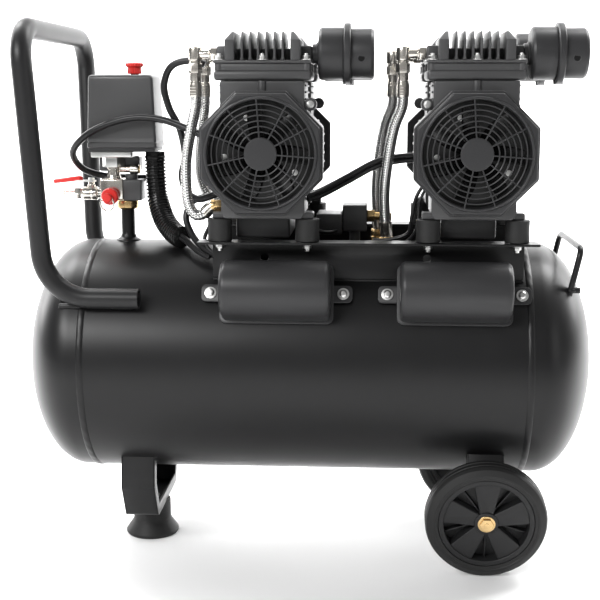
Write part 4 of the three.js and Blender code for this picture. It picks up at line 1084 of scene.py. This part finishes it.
def build_switch():
    """A foot, a deck, a housing that narrows upwards, its two screws and the fluted pull knob."""
    plate = block(RISER_X - 42, RISER_X + 12, -27, 27, 518.4, 527.3, 1.8)
    make("switch_foot", plate, ZINC, stands_for="switch_base")
    deck = block(RISER_X - 44, RISER_X + 43, -31, 31, 526, 531.4, 1.2)
    make("switch_deck", deck, PLASTIC)

    def level(grow, z):
        """One rounded rectangle of the cover, narrower towards the top."""
        share = (z - 531) / 94
        half_x = 45.5 - 3.5 * share + grow
        half_y = 33 - 1.0 * share + grow
        loop = [(-half_x, -half_y), (half_x, -half_y), (half_x, half_y), (-half_x, half_y)]
        loop = rounded(loop, 4.0, 5, closed=True) + np.array([RISER_X, 0])
        return np.column_stack([loop, np.full(len(loop), z)])

    steps = [(-1.2, 531.0), (0, 532.0), (0, 537.4), (-0.9, 538.0), (-0.9, 539.0), (-0.2, 540.2)]
    steps += [(-0.2, z) for z in np.linspace(545, 619, 12)]
    turn = np.radians(np.linspace(15, 90, 7))
    steps += [(-0.2 - 4.5 * (1 - math.cos(a)), 620 + 4.6 * math.sin(a)) for a in turn]
    screws = total(
        lathe("z", [(0, 623), (3.6, 623), (3.6, 625.0), (0, 625.4)], (RISER_X + dx, dy, 0), 24, 0.4)
        for dx, dy in ((-30, 20), (30, -20))
    )
    housing = loft([level(grow, z) for grow, z in steps])
    # The housing's paler plastic is painted sheen, not a different moulding.
    make("switch_housing", housing, PLASTIC_WITH_PAINTED_SHEEN, stands_for="switch_cover", crease=40)
    make("switch_screws", screws, ZINC)
    x, y = middle("switch_knob")[:2]
    profile = [(0, 596), (5, 596), (5, 625.6), (9.2, 626), (8.6, 634), (11.4, 635.6), (11.7, 639)]
    profile += [(10.6, 640), (0, 640)]
    knob = lathe("z", profile, (x, y, 0), 120, 0.7, fluted(20, 8))
    make("switch_pull_knob", knob, RED, "knob", "switch_knob")


def build_wiring():
    """The ribbed conduit with the wires out of its foot, two leads and the motors' thin wires."""
    x = RISER_X + 36
    route = [(x, 10, 519), (x + 1, 8, 490), (x + 4, 4, 462), (x + 14, -10, 437), (x + 30, -30, 421.5),
             (x + 43, -44, 417)]
    run = spline(route, 700)
    run_length = np.concatenate([[0], np.cumsum(np.linalg.norm(np.diff(run, axis=0), axis=1))])
    ribs = 13.2 + 1.2 * np.clip(1.5 * np.sin(run_length * 2 * math.pi / 4.7), -1, 1)
    collar = bar("z", 13.0, 512, 525, (x, 10, 0), 40, 1.0)
    wires = []
    for dy, dz in [(-2.5, 0), (2.5, 1.5), (0, 4.5)]:
        path = [(x + 36, -38 + dy, 419 + dz), (x + 52, -54 + dy, 410 + dz)]
        path += [(x + 68, -72 + dy, 401 + dz * 0.6), (x + 84, -84 + dy * 0.6, 395.5 + dz * 0.3)]
        wires.append(tube(spline(path, 60), 2.3, 14))
    make("conduit_ribbed", tube(run, ribs, 40) + collar, GLOSSY, stands_for="conduit", crease=75)
    make("conduit_wires", total(wires), CABLE)

    wall = PUMPS["left"] - CASE_HALF_X - 1.5
    supply = [(wall, -70, 545), (wall - 20, -66, 546), (-150, -58, 556), (-186, -52, 568), (-224, -48, 570),
              (-262, -46, 560), (-291, -38, 544), (-309, -20, 524), (-303, 4, 503), (-280, 24, 492),
              (-240, 30, 489), (-214, 30, 489)]
    make("supply_lead", tube(spline(supply, 260), 4.5, 24), CABLE, stands_for="supply_cable")
    vent = [(-128, -60, 636), (-150, -58, 641), (-172, -52, 634), (-182, -48, 612), (-177, -46, 584),
            (-164, -42, 556), (-159, -36, 520), (-163, -38, 496), (-156, -46, 477), (-138, -60, 468),
            (-118, -68, 474), (wall, -70, 479)]
    make("vent_lead", tube(spline(vent, 220), 4.5, 24), CABLE, stands_for="vent_hose")

    wire_runs = [
        (4.2, (-128, -40, 470), (-150, -38, 462), (-158, -40, 444), (-150, -52, 424), (-134, -68, 408),
         (-112, -84, 397)),
        (2.6, (-101, -86, 470), (-112, -88, 452), (-122, -78, 436), (-130, -70, 418), (-124, -76, 406),
         (-108, -84, 400)),
        (3.4, (2, -96, 478), (14, -84, 480), (48, -60, 496), (86, -52, 516), (112, -50, 522),
         (150, -50, 524)),
        (3.4, (2, -92, 472), (16, -80, 474), (50, -56, 490), (88, -48, 510), (114, -46, 516),
         (150, -46, 518)),
        (2.6, (44, -20, 432), (30, -34, 424), (12, -48, 428), (0, -60, 440)),
        (2.4, (150, -78, 492), (138, -82, 476), (132, -80, 450), (128, -74, 428), (110, -70, 420),
         (84, -66, 418)),
        (2.0, (150, -84, 486), (141, -88, 468), (140, -86, 444), (134, -80, 426), (120, -74, 414)),
    ]
    make("motor_leads", total(tube(spline(way, 70), r, 14) for r, *way in wire_runs), CABLE)


def build_collector():
    """The block between the pumps that gathers the air lines, with its nuts, seen behind the hoses."""
    body = block(44, 76, -24, 24, 424, 458, 2.4) + block(10, 44, -30, 30, 420, 447, 3.0)
    body += bar("z", 7, above_tank(0) - 2, 426, (60, 0, 0))
    make("collector_block", body, CASTING)
    nuts = hexagon("x", 15, 76, 86, (0, 0, 442)) + bar("x", 5.4, 84, 101, (0, 0, 442))
    nuts += hexagon("x", 14, 96, 108, (0, -12, 440))
    make("collector_nuts", nuts, BRASS)


# ---------- The whole object ----------

build_tank()
build_handles()
build_rails()
build_leg()
for wheel_place, wheel_side in SIDES.items():
    build_wheel(wheel_place, wheel_side)

for pump, pump_x in PUMPS.items():
    build_body(pump, pump_x)
    build_rotor(pump, pump_x)
    for where, way in SIDES.items():
        build_shroud(pump, pump_x, where, way)
        build_head(pump, pump_x, where, way)
        build_filter(pump, pump_x, where, way)
        build_hose(pump, pump_x, where, way)
        for end in "ab":
            build_mount(f"{pump}_{where}_mount_{end}")
for cover in ("left_capacitor_cover", "right_capacitor_cover"):
    build_cover(cover, middle(cover)[0])
build_manifold()
build_relief()
build_outlet()
build_drain()
build_switch()
build_wiring()
build_collector()

# ---------- Stage ----------


def build_stage():
    """A pale floor that curves up into a wall behind the object."""
    width, front, back, high, bend = 6.0, -4.0, 2.4, 3.4, 1.0
    profile = [(front, 0.0), (back, 0.0), (back, high)]
    line = rounded(profile, [0, bend, 0], 16)
    vertices = [(x, y, z) for y, z in line for x in (-width, width)]
    faces = [(2 * i, 2 * i + 1, 2 * i + 3, 2 * i + 2) for i in range(len(line) - 1)]
    mesh = bpy.data.meshes.new("floor")
    mesh.from_pydata(vertices, [], faces)
    mesh.shade_smooth()
    paint = Finish("pale_floor", None, Base_Color=(0.93, 0.93, 0.93), Roughness=0.7)
    mesh.materials.append(paint.material)
    floor = bpy.data.objects.new("floor", mesh)
    bpy.context.scene.collection.objects.link(floor)


def area_light(name, place, target, size, power):
    """A rectangular lamp, whose sizes are in metres, turned to face a point."""
    data = bpy.data.lights.new(name, "AREA")
    data.shape = "RECTANGLE"
    data.size, data.size_y = size
    data.energy = power
    lamp = bpy.data.objects.new(name, data)
    bpy.context.scene.collection.objects.link(lamp)
    lamp.location = place
    lamp.rotation_euler = (Vector(target) - Vector(place)).to_track_quat("-Z", "Y").to_euler()


def build_light():
    """Soft lamps round the object, two on the wall behind it, and a dim even sky."""
    world = bpy.data.worlds.new("studio")
    bpy.context.scene.world = world
    world.use_nodes = True
    sky = world.node_tree.nodes["Background"].inputs
    sky["Color"].default_value = (1, 1, 1, 1)
    sky["Strength"].default_value = 0.3
    bpy.context.scene.view_settings.view_transform = "Standard"
    middle_of = (0, 0, 0.35)
    area_light("key", (-1.5, -2.2, 1.75), middle_of, (1.8, 0.7), 75)
    area_light("fill", (2.4, -1.8, 1.2), middle_of, (1.0, 1.6), 8)
    area_light("top", (0, 0.6, 2.8), middle_of, (2.6, 1.0), 32)
    area_light("wall_left", (-1.6, 1.0, 2.6), (-0.8, 2.4, 0.6), (1.5, 1.0), 110)
    area_light("wall_right", (1.6, 1.0, 2.6), (0.8, 2.4, 0.6), (1.5, 1.0), 110)
    area_light("rim_left", (-2.2, 1.2, 1.2), middle_of, (0.8, 1.8), 30)
    area_light("rim_right", (2.2, 1.4, 1.4), middle_of, (0.8, 1.8), 30)


def build_camera():
    """A long lens a little above the tank, slightly to the right of its middle."""
    data = bpy.data.cameras.new("camera")
    data.lens = 71
    data.sensor_width = 36
    data.clip_end = 50
    camera = bpy.data.objects.new("camera", data)
    bpy.context.scene.collection.objects.link(camera)
    camera.location = np.array([80, -1558, 598]) * 0.001 + ORIGIN
    camera.rotation_euler = (math.radians(80.2), 0, math.radians(3.4))
    bpy.context.scene.camera = camera


build_stage()
build_light()
build_camera()
